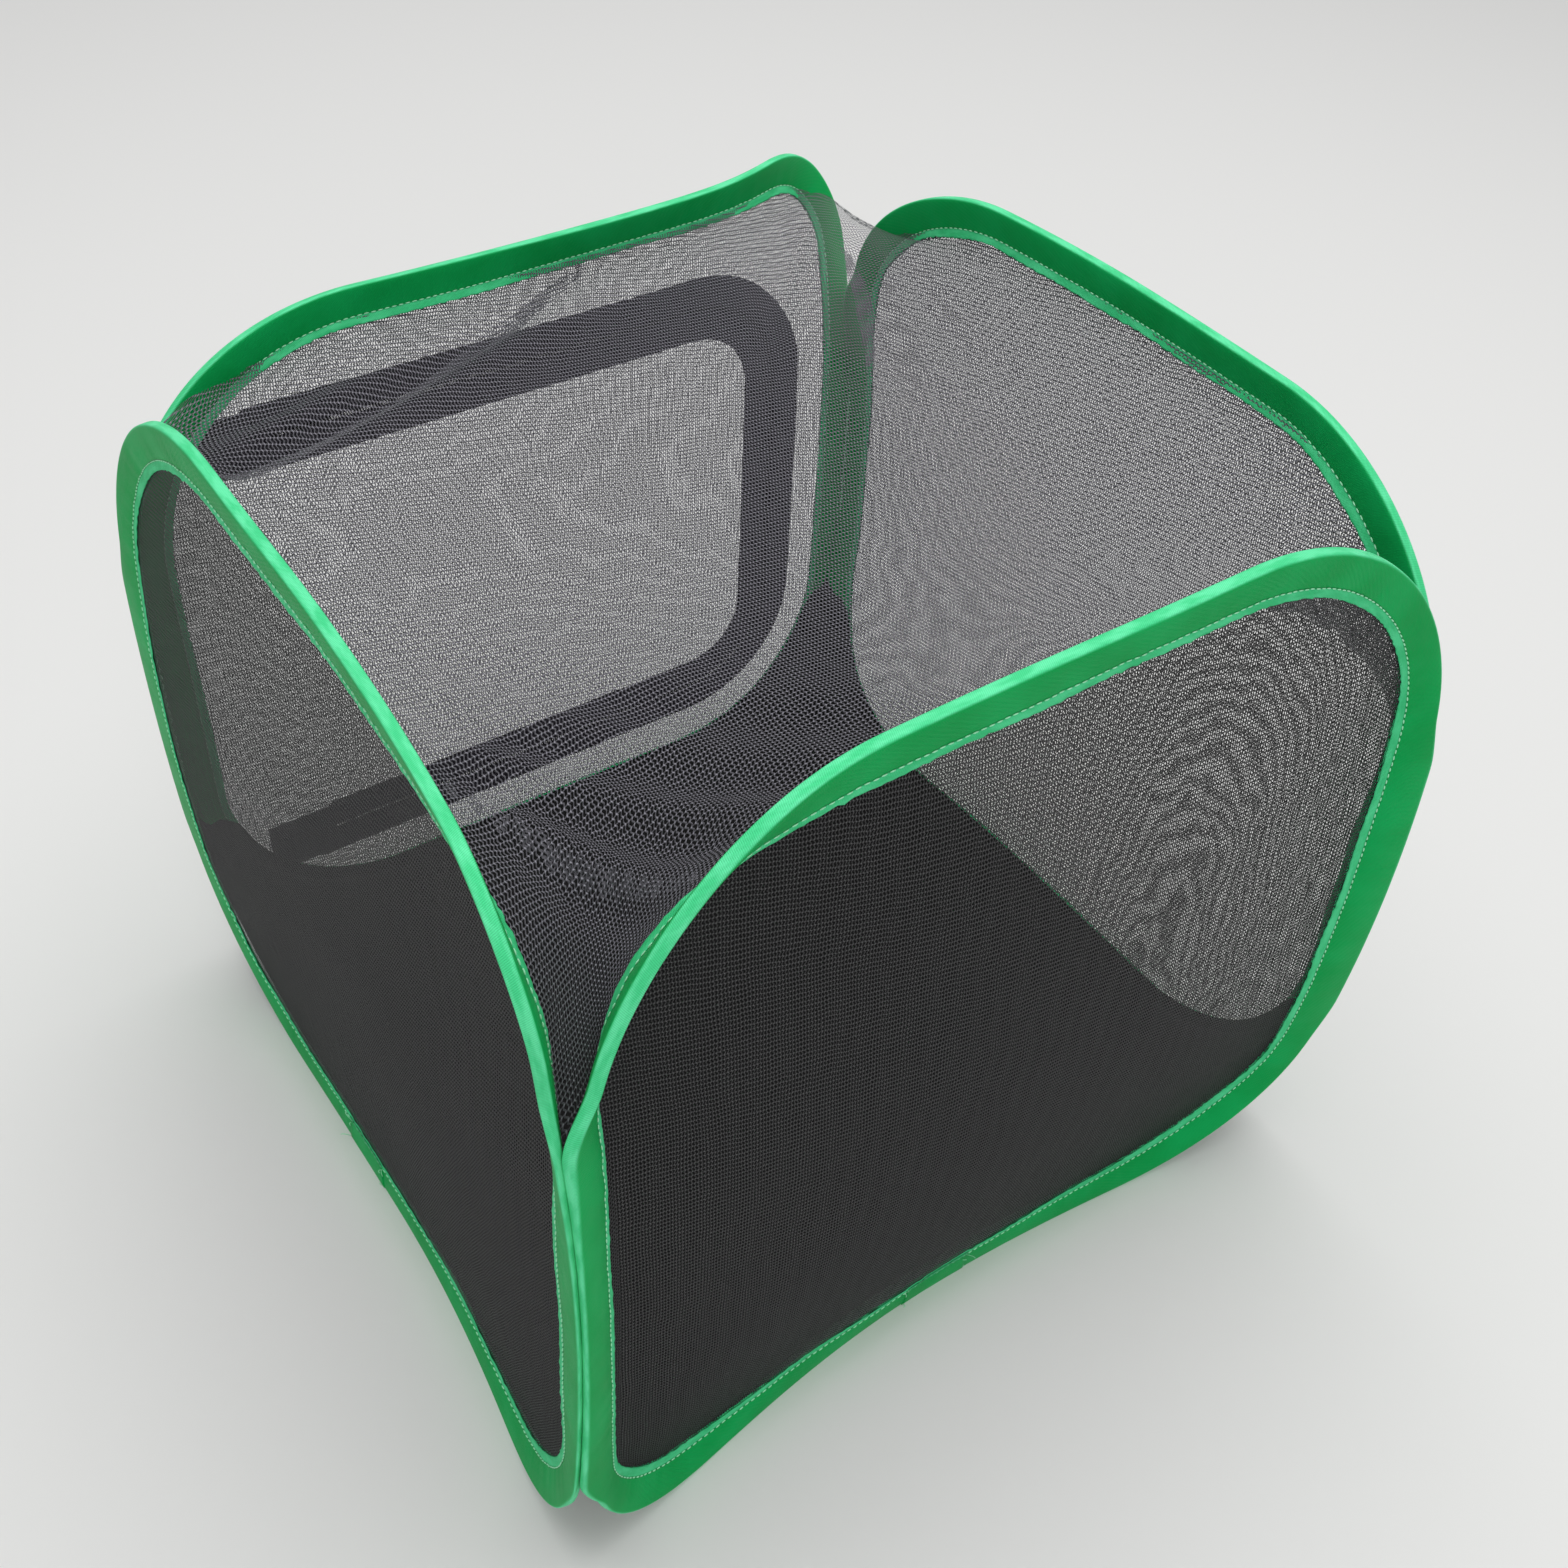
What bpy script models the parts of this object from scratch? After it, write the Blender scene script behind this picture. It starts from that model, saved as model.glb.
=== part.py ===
"""Pop-up butterfly habitat: four spring hoops in green sleeves, mesh walls and top, cloth floor, zip door."""
import math

import bmesh
import bpy
import numpy as np
from mathutils import Matrix, Vector

# Driving sizes in metres
cage_width = 0.400
cage_depth = 0.400
hoop_height = 0.380
sleeve_width = 0.024
sleeve_thickness = 0.005
sleeve_leaf = 0.0006
mesh_thickness = 0.0008
floor_thickness = 0.0008
play = 0.0003
top_play = 0.0011
floor_play = 0.0004
seam_diameter = 0.0011
seam_end_gap = 0.006
hoop_wire_diameter = 0.0019
hoop_wire_inset = 0.0031
ferrule_diameter = 0.0031
ferrule_bore = 0.0025
ferrule_length = 0.018
mesh_tuck = 0.010
top_seam_inset = 0.021
top_sag = 0.012
door_hinge_inset = 0.066
door_side_inset = 0.049
door_top_inset = 0.064
door_bottom = 0.056
door_corner_radius = 0.050
zip_end_run = 0.006
zip_tape_width = 0.0131
zip_tape_thickness = 0.0006
zip_coil_diameter = 0.0024
zip_coil_gap = 0.0004
door_lap = 0.008
slider_length = 0.012
slider_width = 0.009
slider_plate = 0.0010
slider_arch_height = 0.0045
slider_arch_width = 0.0036
slider_arch_wall = 0.0013
slider_park = 0.011
pull_length = 0.030
pull_width = 0.009
pull_thickness = 0.0010
pull_bar = 0.0016
pull_hole_length = 0.0062
pull_hole_width = 0.0052
stop_length = 0.003
stop_width = 0.0036
stop_height = 0.0026
weld = 0.00001

# Each hoop's own shape, in hoop heights. Start and end are its two sides, along x or y.
# Radii run bottom start, bottom end, top end, top start. Bows lean its edges out of the wall's plane.
# The band of the wall that is flat stays in the plane but for its ends, which lean by a power of side.
hoop_shares = {
    "front": {"radius_shares": (0.237, 0.236, 0.331, 0.292), "height_share": 1.033,
              "flat_share": 0.0, "top_bow_share": -0.030, "bottom_bow_share": -0.088,
              "start_share": -0.015, "end_share": -0.050, "lean_power": 2},
    "left": {"radius_shares": (0.294, 0.232, 0.353, 0.150), "height_share": 1.001,
             "flat_share": 0.0, "top_bow_share": -0.012, "bottom_bow_share": -0.031,
             "start_share": 0.028, "end_share": -0.027, "lean_power": 2},
    "back": {"radius_shares": (0.280, 0.280, 0.198, 0.306), "height_share": 0.945,
             "flat_share": 0.66, "top_bow_share": -0.022, "bottom_bow_share": 0.000,
             "start_share": 0.002, "end_share": 0.035, "lean_power": 6},
    "right": {"radius_shares": (0.280, 0.280, 0.266, 0.305), "height_share": 0.968,
              "flat_share": 0.0, "top_bow_share": 0.014, "bottom_bow_share": 0.000,
              "start_share": -0.006, "end_share": -0.060, "lean_power": 2},
}
# Sleeve section: inset in sleeve widths and half thickness in sleeve thicknesses
fold_shares = ((0.108, 0.50), (0.018, 0.32))
# Widths of the slider's arch at its foot and head, in slider lengths
arch_foot_share = 0.76
arch_head_share = 0.60
# Small corners of the door's cut, in door laps
cut_corner_share = 0.25
# How fast the floor cloth drops from its seam to the ground
floor_drop_power = 7
# Layers of cloth that the door's zip keeps clear of its hinge
hinge_layers = 4
# Mesh counts
steps_per_quarter = 16
relax_rounds = 900
corner_steps = 8
straight_steps = 8
seam_steps = 24
surround_rings = 3
thread_steps = 4
ferrule_steps = 16
wire_sides = 1
coil_sides = 2
tiny = 1e-6

sleeve_green = (0.012, 0.262, 0.082, 1.0)
mesh_black = (0.012, 0.012, 0.014, 1.0)
cloth_black = (0.009, 0.009, 0.010, 1.0)
tape_black = (0.020, 0.018, 0.024, 1.0)
steel_grey = (0.45, 0.45, 0.46, 1.0)
painted_black = (0.015, 0.015, 0.017, 1.0)


for stale in list(bpy.data.objects):
    bpy.data.objects.remove(stale, do_unlink=True)

habitat = bpy.data.collections.new("butterfly_habitat")
cutters = bpy.data.collections.new("cutters")
bpy.context.scene.collection.children.link(habitat)
bpy.context.scene.collection.children.link(cutters)


def finish(name, colour, roughness, metallic):
    """A plain finish in the colour of the piece."""
    material = bpy.data.materials.new(name)
    material.use_nodes = True
    shader = material.node_tree.nodes["Principled BSDF"]
    shader.inputs["Base Color"].default_value = colour
    shader.inputs["Roughness"].default_value = roughness
    shader.inputs["Metallic"].default_value = metallic
    return material


def pivot(name, place, carrier=None):
    """An empty on a joint's axis, carried by another one."""
    empty = bpy.data.objects.new(name, None)
    habitat.objects.link(empty)
    empty.location = place
    if carrier:
        empty.parent = carrier
        empty.matrix_parent_inverse = Matrix.Translation(-Vector(carrier["place"]))
    empty["place"] = tuple(place)
    return empty


def add(name, mesh, look, carrier=None, smooth=False):
    """Puts a finished mesh in the collection, with its colour and its carrier."""
    thing = bpy.data.objects.new(name, mesh)
    habitat.objects.link(thing)
    colour, roughness, metallic = look
    mesh.materials.clear()
    mesh.materials.append(finish(name, colour, roughness, metallic))
    for face in mesh.polygons:
        face.use_smooth = smooth
    if carrier:
        thing.parent = carrier
        thing.matrix_parent_inverse = Matrix.Translation(-Vector(carrier["place"]))
    return thing


satin_look = (sleeve_green, 0.45, 0.0)
net_look = (mesh_black, 0.80, 0.0)
cloth_look = (cloth_black, 0.85, 0.0)
tape_look = (tape_black, 0.75, 0.0)
steel_look = (steel_grey, 0.35, 1.0)
paint_look = (painted_black, 0.40, 0.6)


def outline(rect, share):
    """Point and inward normal on a rounded rectangle; share runs 0 to 4, one for each side."""
    quarter = int(math.floor(share)) % 4
    part = share - math.floor(share)
    low_u, high_u, low_v, high_v, radii = rect
    first, second = radii[quarter], radii[(quarter + 1) % 4]
    corners = ((low_u, low_v), (high_u, low_v), (high_u, high_v), (low_u, high_v))
    signs = ((1, 1), (-1, 1), (-1, -1), (1, -1))

    def centre(index, radius):
        return (corners[index][0] + signs[index][0] * radius,
                corners[index][1] + signs[index][1] * radius)

    eighth = math.pi / 4
    turn = math.radians(225 + 90 * quarter)
    begin, finish_at = centre(quarter, first), centre((quarter + 1) % 4, second)
    span = abs(finish_at[quarter % 2] - begin[quarter % 2])
    lengths = (first * eighth, span, second * eighth)
    run = part * sum(lengths)
    flat = turn + eighth
    if run < lengths[0]:
        angle = turn + run / first
        hub, radius = begin, first
    elif run > lengths[0] + lengths[1]:
        angle = flat + (run - lengths[0] - lengths[1]) / second
        hub, radius = finish_at, second
    else:
        angle = flat
        along = (run - lengths[0]) / span
        hub = (begin[0] + (finish_at[0] - begin[0]) * along,
               begin[1] + (finish_at[1] - begin[1]) * along)
        radius = first + (second - first) * along
    out = (math.cos(angle), math.sin(angle))
    return hub[0] + out[0] * radius, hub[1] + out[1] * radius, -out[0], -out[1]


class Wall:
    """One side of the cage: a rounded hoop whose edges bow out of its plane."""

    def __init__(self, name, width, reach, carrier):
        shares = hoop_shares[name]
        self.name = name
        self.carrier = carrier
        self.flat = shares["flat_share"]
        self.lean_power = shares["lean_power"]
        self.half = width / 2 - sleeve_thickness - seam_diameter / 2 - play
        self.height = hoop_height * shares["height_share"]
        self.radii = [hoop_height * share for share in shares["radius_shares"]]
        self.rect = (-self.half, self.half, 0.0, self.height, self.radii)
        self.bow_top = hoop_height * shares["top_bow_share"]
        self.bow_bottom = hoop_height * shares["bottom_bow_share"]
        self.start = hoop_height * shares["start_share"]
        self.end = hoop_height * shares["end_share"]
        self.reach = reach / 2 - sleeve_thickness / 2

    def bulge(self, u, v):
        """How far the wall stands outside its plane."""
        lift = 2 * v / self.height - 1
        grow = (max(abs(lift) - self.flat, 0) / (1 - self.flat)) ** 2
        side = u / self.half
        middle = self.bow_top if lift > 0 else self.bow_bottom
        end = self.start if side < 0 else self.end
        return grow * middle * math.cos(side * math.pi / 2) + lift * lift * end * abs(side) ** self.lean_power

    def place(self, u, v, inward=0.0):
        """World position of a point on the wall, with a depth measured inwards."""
        out = self.reach + self.bulge(u, v) - inward
        if self.name == "front":
            return Vector((u, -out, v))
        if self.name == "back":
            return Vector((u, out, v))
        if self.name == "left":
            return Vector((-out, u, v))
        return Vector((out, u, v))


root = pivot("front_corner", (0.0, 0.0, 0.0))
hinge_x = cage_width / 2 - sleeve_thickness
hinge_y = cage_depth / 2 - sleeve_thickness
left_hinge = pivot("left_hinge", (-hinge_x, -hinge_y, 0.0), root)
right_hinge = pivot("right_hinge", (hinge_x, -hinge_y, 0.0), root)
back_hinge = pivot("back_hinge", (-hinge_x, hinge_y, 0.0), left_hinge)

walls = {
    "front": Wall("front", cage_width, cage_depth, root),
    "left": Wall("left", cage_depth, cage_width, left_hinge),
    "back": Wall("back", cage_width, cage_depth, back_hinge),
    "right": Wall("right", cage_depth, cage_width, right_hinge),
}
stations = [index / steps_per_quarter for index in range(4 * steps_per_quarter)]


def closed_ring(sections, points):
    """A closed ring swept from a torus: points(station, corner) gives each vertex its place."""
    bpy.ops.mesh.primitive_torus_add(major_segments=len(stations), minor_segments=sections)
    ring = bpy.context.object
    mesh = ring.data
    for index, vertex in enumerate(mesh.vertices):
        vertex.co = points(stations[index // sections], index % sections)
    bpy.data.objects.remove(ring, do_unlink=True)
    return outward(mesh)


def outward(mesh):
    """Turns every face to the outside."""
    work = bmesh.new()
    work.from_mesh(mesh)
    bmesh.ops.recalc_face_normals(work, faces=work.faces)
    work.to_mesh(mesh)
    work.free()
    return mesh


def sheet(places, thickness, columns, rows):
    """A cloth sheet: a grid laid on places(s, t), with its thickness on both sides."""
    work = bmesh.new()
    bmesh.ops.create_grid(work, x_segments=columns, y_segments=rows, size=1.0)
    for vertex in work.verts:
        vertex.co = places(vertex.co.x, vertex.co.y)
    mesh = bpy.data.meshes.new("sheet")
    work.to_mesh(mesh)
    work.free()
    return thicken(mesh, thickness)


def thicken(mesh, thickness):
    """Gives an open mesh its thickness, half on each side."""
    source = bpy.data.objects.new("thin", mesh)
    bpy.context.scene.collection.objects.link(source)
    wall = source.modifiers.new("thickness", "SOLIDIFY")
    wall.thickness = thickness
    wall.offset = 0.0
    solid = bpy.data.meshes.new_from_object(source.evaluated_get(bpy.context.evaluated_depsgraph_get()))
    bpy.data.objects.remove(source, do_unlink=True)
    return outward(solid)


def tube(points, diameter, sides, cyclic):
    """A round wire along points."""
    line = bpy.data.curves.new("wire", "CURVE")
    line.dimensions = "3D"
    line.bevel_depth = diameter / 2
    line.bevel_resolution = sides
    line.use_fill_caps = not cyclic
    spline = line.splines.new("POLY")
    spline.points.add(len(points) - 1)
    for knot, point in zip(spline.points, points):
        knot.co = (*point, 1.0)
    spline.use_cyclic_u = cyclic
    holder = bpy.data.objects.new("wire", line)
    bpy.context.scene.collection.objects.link(holder)
    mesh = bpy.data.meshes.new_from_object(holder.evaluated_get(bpy.context.evaluated_depsgraph_get()))
    bpy.data.objects.remove(holder, do_unlink=True)
    work = bmesh.new()
    work.from_mesh(mesh)
    bmesh.ops.remove_doubles(work, verts=work.verts, dist=weld)
    work.to_mesh(mesh)
    work.free()
    return outward(mesh)


def square_share(s, t):
    """Share along the outline, 0 to 4, and how far out, 0 to 1, of a point of the square grid."""
    far = max(abs(s), abs(t))
    if far == 0:
        return 0.0, 0.0
    s, t = s / far, t / far
    if t <= tiny - 1:
        return (s + 1) / 2, far
    if s >= 1 - tiny:
        return 1 + (t + 1) / 2, far
    if t >= 1 - tiny:
        return 2 + (1 - s) / 2, far
    return (3 + (1 - t) / 2) % 4, far


def filled(wall, rect, inset):
    """Grid places of a rounded sheet on a wall, whose edge lies inset from the rectangle."""
    middle = ((rect[0] + rect[1]) / 2, (rect[2] + rect[3]) / 2)

    def places(s, t):
        share, far = square_share(s, t)
        u, v, nu, nv = outline(rect, share)
        u, v = u + nu * inset, v + nv * inset
        u = middle[0] + (u - middle[0]) * far
        v = middle[1] + (v - middle[1]) * far
        return wall.place(u, v)

    return places


# Sleeve section: the folded tape's outside, then the inside of its wire channel and leaf gap
leaf_gap = mesh_thickness / 2 + play
outer_half = [(sleeve_width, leaf_gap + sleeve_leaf)]
outer_half += [(sleeve_width * inset, sleeve_thickness * half) for inset, half in fold_shares]
channel_half = sleeve_thickness / 2 - sleeve_leaf
channel_front = outer_half[2][0] + sleeve_leaf
channel_front_half = outer_half[2][1]
channel_back = hoop_wire_inset + ferrule_diameter / 2
throat = channel_back + 2 * (channel_half - leaf_gap)
inner_half = [(channel_front, channel_front_half), (channel_back, channel_half), (throat, leaf_gap),
              (sleeve_width - mesh_tuck, leaf_gap), (sleeve_width, leaf_gap)]
section = outer_half + [(inset, -half) for inset, half in reversed(outer_half)]
section += [(inset, -half) for inset, half in reversed(inner_half)] + inner_half

# Hoop, ferrule, sleeve and mesh of each wall
for name, wall in walls.items():
    def sleeve_point(share, corner, wall=wall):
        u, v, nu, nv = outline(wall.rect, share)
        inset, depth = section[corner]
        return wall.place(u + nu * inset, v + nv * inset, depth)

    add("sleeve_" + name, closed_ring(len(section), sleeve_point), satin_look, wall.carrier)

    route = []
    for share in stations:
        u, v, nu, nv = outline(wall.rect, share)
        route.append(wall.place(u + nu * hoop_wire_inset, v + nv * hoop_wire_inset))
    add("hoop_" + name, tube(route, hoop_wire_diameter, wire_sides, True), steel_look, wall.carrier, True)

    seat = steps_per_quarter // 2
    start, stop = route[seat], route[seat + 1]
    shell = [(ferrule_bore / 2, -ferrule_length / 2), (ferrule_diameter / 2, -ferrule_length / 2),
             (ferrule_diameter / 2, ferrule_length / 2), (ferrule_bore / 2, ferrule_length / 2)]
    profile = bpy.data.meshes.new("ferrule_profile")
    work = bmesh.new()
    corners = [work.verts.new((radius, 0.0, height)) for radius, height in shell]
    for first, second in zip(corners, corners[1:] + corners[:1]):
        work.edges.new((first, second))
    work.to_mesh(profile)
    work.free()
    turned = bpy.data.objects.new("ferrule_turned", profile)
    bpy.context.scene.collection.objects.link(turned)
    screw = turned.modifiers.new("turn", "SCREW")
    screw.steps = screw.render_steps = ferrule_steps
    screw.use_merge_vertices = True
    screw.merge_threshold = weld
    ferrule = bpy.data.meshes.new_from_object(turned.evaluated_get(bpy.context.evaluated_depsgraph_get()))
    bpy.data.objects.remove(turned, do_unlink=True)
    along = (stop - start).to_track_quat("Z", "Y").to_matrix().to_4x4()
    ferrule.transform(Matrix.Translation((start + stop) / 2) @ along)
    add("ferrule_" + name, outward(ferrule), steel_look, wall.carrier, True)

    if name != "back":
        net = sheet(filled(wall, wall.rect, sleeve_width - mesh_tuck), mesh_thickness,
                    steps_per_quarter, steps_per_quarter)
        add("mesh_" + name, net, net_look, wall.carrier)

# Door in the back wall: the zip runs along its bottom, right and top, and its left edge is the hinge
back = walls["back"]
door_left = back.half - door_hinge_inset
door_right = back.half - door_side_inset
door_top = back.height - door_top_inset
hinge_seat = back.place(-door_left, (door_bottom + door_top) / 2, -mesh_thickness / 2)
door_hinge = pivot("door_hinge", hinge_seat, back_hinge)
small_corner = door_lap * cut_corner_share
cut_rect = (-door_left - play, door_right + door_lap, door_bottom - door_lap, door_top + door_lap,
            (small_corner, door_corner_radius + door_lap, door_corner_radius + door_lap, small_corner))
flap_rect = (-door_left + play, door_right - door_lap, door_bottom + door_lap, door_top - door_lap,
             (small_corner, door_corner_radius - door_lap, door_corner_radius - door_lap, small_corner))

bpy.ops.mesh.primitive_cylinder_add(vertices=len(stations), end_fill_type="NOTHING")
surround = bpy.context.object
work = bmesh.new()
work.from_mesh(surround.data)
bmesh.ops.subdivide_edges(work, edges=[e for e in work.edges if abs(e.verts[0].co.z - e.verts[1].co.z) > 1],
                          cuts=surround_rings)
for vertex in work.verts:
    angle = math.atan2(vertex.co.y, vertex.co.x) % (2 * math.pi)
    share = round(angle / (2 * math.pi) * len(stations)) % len(stations) / steps_per_quarter
    u, v, nu, nv = outline(back.rect, share)
    cut_u, cut_v, cut_nu, cut_nv = outline(cut_rect, share)
    ring = round((vertex.co.z + 1) / 2 * (surround_rings + 1))
    inset = sleeve_width - (mesh_tuck if ring == 0 else 0)
    mix = max(ring - 1, 0) / surround_rings
    u, v = u + nu * inset, v + nv * inset
    vertex.co = back.place(u + (cut_u - u) * mix, v + (cut_v - v) * mix)
surround_mesh = bpy.data.meshes.new("surround")
work.to_mesh(surround_mesh)
work.free()
bpy.data.objects.remove(surround, do_unlink=True)
add("mesh_back", thicken(surround_mesh, mesh_thickness), net_look, back_hinge)

flap = sheet(filled(back, flap_rect, 0.0), mesh_thickness, steps_per_quarter, steps_per_quarter)
add("door_mesh", flap, net_look, door_hinge)


def zip_route(start_u, offset):
    """Points (u, v) along the zip from its lower end to its upper end, offset outwards."""
    right, low, high, radius = door_right, door_bottom, door_top, door_corner_radius
    reach = radius + offset
    points = []
    for step in range(straight_steps):
        points.append((start_u + (right - radius - start_u) * step / straight_steps, low - offset))
    for step in range(corner_steps):
        angle = math.radians(270 + 90 * step / corner_steps)
        points.append((right - radius + reach * math.cos(angle), low + radius + reach * math.sin(angle)))
    for step in range(straight_steps):
        points.append((right + offset, low + radius + (high - low - 2 * radius) * step / straight_steps))
    for step in range(corner_steps):
        angle = math.radians(90 * step / corner_steps)
        points.append((right - radius + reach * math.cos(angle), high - radius + reach * math.sin(angle)))
    for step in range(straight_steps + 1):
        points.append((right - radius + (start_u - right + radius) * step / straight_steps, high + offset))
    return points


tape_depth = mesh_thickness / 2 + play + zip_tape_thickness / 2
coil_depth = mesh_thickness / 2 + play + zip_coil_diameter / 2
coil_offset = zip_coil_gap / 2 + zip_coil_diameter / 2
tape_start = zip_coil_gap / 2 + zip_coil_diameter + play
frame_end = -door_left - zip_end_run
flap_end = -door_left + hinge_layers * (mesh_thickness / 2 + play + zip_tape_thickness)
for name, side, start_u, carrier in (("frame", 1, frame_end, back_hinge), ("door", -1, flap_end, door_hinge)):
    near = zip_route(start_u, side * tape_start)
    far = zip_route(start_u, side * (tape_start + zip_tape_width))

    def tape_place(s, t, near=near, far=far):
        index = round((s + 1) / 2 * (len(near) - 1))
        u, v = near[index] if t < 0 else far[index]
        return back.place(u, v, -tape_depth)

    add(name + "_zip_tape", sheet(tape_place, zip_tape_thickness, len(near) - 1, 1), tape_look, carrier)
    line = [back.place(u, v, -coil_depth) for u, v in zip_route(start_u, side * coil_offset)]
    add(name + "_zip_coil", tube(line, zip_coil_diameter, coil_sides, False), tape_look, carrier, True)

# Stops past both ends of the frame's coil
stop_depth = mesh_thickness / 2 + play + stop_height / 2
for name, level in (("zip_bottom_stop", door_bottom - coil_offset), ("zip_top_stop", door_top + coil_offset)):
    bpy.ops.mesh.primitive_cube_add(size=1.0)
    block = bpy.context.object
    mesh = block.data
    centre = back.place(frame_end - play - stop_length / 2, level, -stop_depth)
    mesh.transform(Matrix.Translation(centre) @ Matrix.Diagonal((stop_length, stop_height, stop_width, 1.0)))
    bpy.data.objects.remove(block, do_unlink=True)
    add(name, mesh, paint_look, back_hinge)

# Slider: a plate over both coils and an arch that carries the pull
slide_start = frame_end + slider_park
seat = back.place(slide_start, door_top, -coil_depth - zip_coil_diameter / 2 - play)
slider_home = pivot("slider_home", seat, back_hinge)
bpy.ops.mesh.primitive_cube_add(size=1.0)
plate = bpy.context.object
plate.data.transform(Matrix.Translation(seat + Vector((0.0, slider_plate / 2, 0.0)))
                     @ Matrix.Diagonal((slider_length, slider_plate, slider_width, 1.0)))
arch_foot = slider_length * arch_foot_share / 2
arch_head = slider_length * arch_head_share / 2
base = slider_plate / 2
crown = slider_plate + slider_arch_height
arch_outline = [(-arch_foot, base), (arch_foot, base), (arch_head, crown), (-arch_head, crown)]
window_half = arch_head - slider_arch_wall
window_low = slider_plate + play
window_high = crown - slider_arch_wall
window_outline = [(-window_half, window_low), (window_half, window_low),
                  (window_half, window_high), (-window_half, window_high)]


def flat_solid(loops, thickness):
    """A flat outline with its holes, given a thickness."""
    drawing = bpy.data.curves.new("outline", "CURVE")
    drawing.dimensions = "2D"
    drawing.fill_mode = "BOTH"
    drawing.extrude = thickness / 2
    for loop in loops:
        spline = drawing.splines.new("POLY")
        spline.points.add(len(loop) - 1)
        for knot, (x, y) in zip(spline.points, loop):
            knot.co = (x, y, 0.0, 1.0)
        spline.use_cyclic_u = True
    holder = bpy.data.objects.new("outline", drawing)
    bpy.context.scene.collection.objects.link(holder)
    mesh = bpy.data.meshes.new_from_object(holder.evaluated_get(bpy.context.evaluated_depsgraph_get()))
    bpy.data.objects.remove(holder, do_unlink=True)
    work = bmesh.new()
    work.from_mesh(mesh)
    bmesh.ops.remove_doubles(work, verts=work.verts, dist=weld)
    work.to_mesh(mesh)
    work.free()
    return outward(mesh)


arch_mesh = flat_solid([arch_outline, window_outline], slider_arch_width)
arch_mesh.transform(Matrix.Translation(seat))
arch = bpy.data.objects.new("slider_arch", arch_mesh)
cutters.objects.link(arch)
arch.hide_render = True
arch.display_type = "WIRE"
join = plate.modifiers.new("arch", "BOOLEAN")
join.operation = "UNION"
join.solver = "EXACT"
join.object = arch
slider_mesh = bpy.data.meshes.new_from_object(plate.evaluated_get(bpy.context.evaluated_depsgraph_get()))
bpy.data.objects.remove(plate, do_unlink=True)
add("zip_slider", slider_mesh, paint_look, slider_home)

# Pull: a flat tag whose top bar hangs in the slider's arch
pin = seat + Vector((0.0, (window_low + window_high) / 2, 0.0))
pull_pivot = pivot("pull_pivot", pin, slider_home)
tag = []
tag_end = pull_length - pull_bar / 2
nose = pull_width / 2
for step in range(corner_steps + 1):
    angle = math.radians(-90 + 180 * step / corner_steps)
    tag.append((tag_end - nose + nose * math.cos(angle), nose * math.sin(angle)))
tag += [(-pull_bar / 2, nose), (-pull_bar / 2, -nose)]
hole_half = pull_hole_width / 2
hole = [(pull_bar / 2, -hole_half), (pull_bar / 2 + pull_hole_length, -hole_half),
        (pull_bar / 2 + pull_hole_length, hole_half), (pull_bar / 2, hole_half)]
pull_mesh = flat_solid([tag, hole], pull_thickness)
pull_mesh.transform(Matrix.Translation(pin) @ Matrix.Rotation(math.radians(90), 4, "X"))
add("zip_pull", pull_mesh, paint_look, pull_pivot)

# Top and floor: cloth skins sewn inside the sleeves, down or up to the corners where the hoops meet
neighbours = {("front", "left"): (0, 0), ("front", "right"): (1, 0),
              ("back", "left"): (0, 1), ("back", "right"): (1, 1)}


def seam(wall, upper, levels, depth):
    """Points along a wall's upper or lower seam from its start corner to its end corner."""
    bottom_start, bottom_end, top_end, top_start = wall.radii
    first, last = (top_start, top_end) if upper else (bottom_start, bottom_end)
    path = [(-wall.half + depth, levels[0])]

    def level(value):
        return wall.height - value if upper else value

    for step in range(seam_steps + 1):
        angle = math.pi / 2 * step / seam_steps
        inset = depth + (top_seam_inset - depth) * math.sin(angle) ** 2
        path.append((-wall.half + first - (first - inset) * math.cos(angle),
                     level(first - (first - inset) * math.sin(angle))))
    for step in range(seam_steps + 1):
        angle = math.pi / 2 * (1 - step / seam_steps)
        inset = depth + (top_seam_inset - depth) * math.sin(angle) ** 2
        path.append((wall.half - last + (last - inset) * math.cos(angle),
                     level(last - (last - inset) * math.sin(angle))))
    path.append((wall.half - depth, levels[1]))
    runs = [0.0]
    for before, after in zip(path, path[1:]):
        runs.append(runs[-1] + math.hypot(after[0] - before[0], after[1] - before[1]))
    points = []
    for step in range(steps_per_quarter + 1):
        target = runs[-1] * step / steps_per_quarter
        u = np.interp(target, runs, [p[0] for p in path])
        v = np.interp(target, runs, [p[1] for p in path])
        points.append(np.array(wall.place(float(u), float(v), depth)))
    return points


def corner_levels(upper):
    """Height at each corner where the two hoops part, above or below their sewn stretch."""
    levels = {}
    for (one, other), spot in neighbours.items():
        ends = []
        for name, place in ((one, spot[0]), (other, spot[1])):
            wall = walls[name]
            bottom_start, bottom_end, top_end, top_start = wall.radii
            if upper:
                ends.append(wall.height - (top_end if place else top_start))
            else:
                ends.append(bottom_end if place else bottom_start)
        levels[(one, other)] = min(ends) if upper else max(ends)
    return levels


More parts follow.
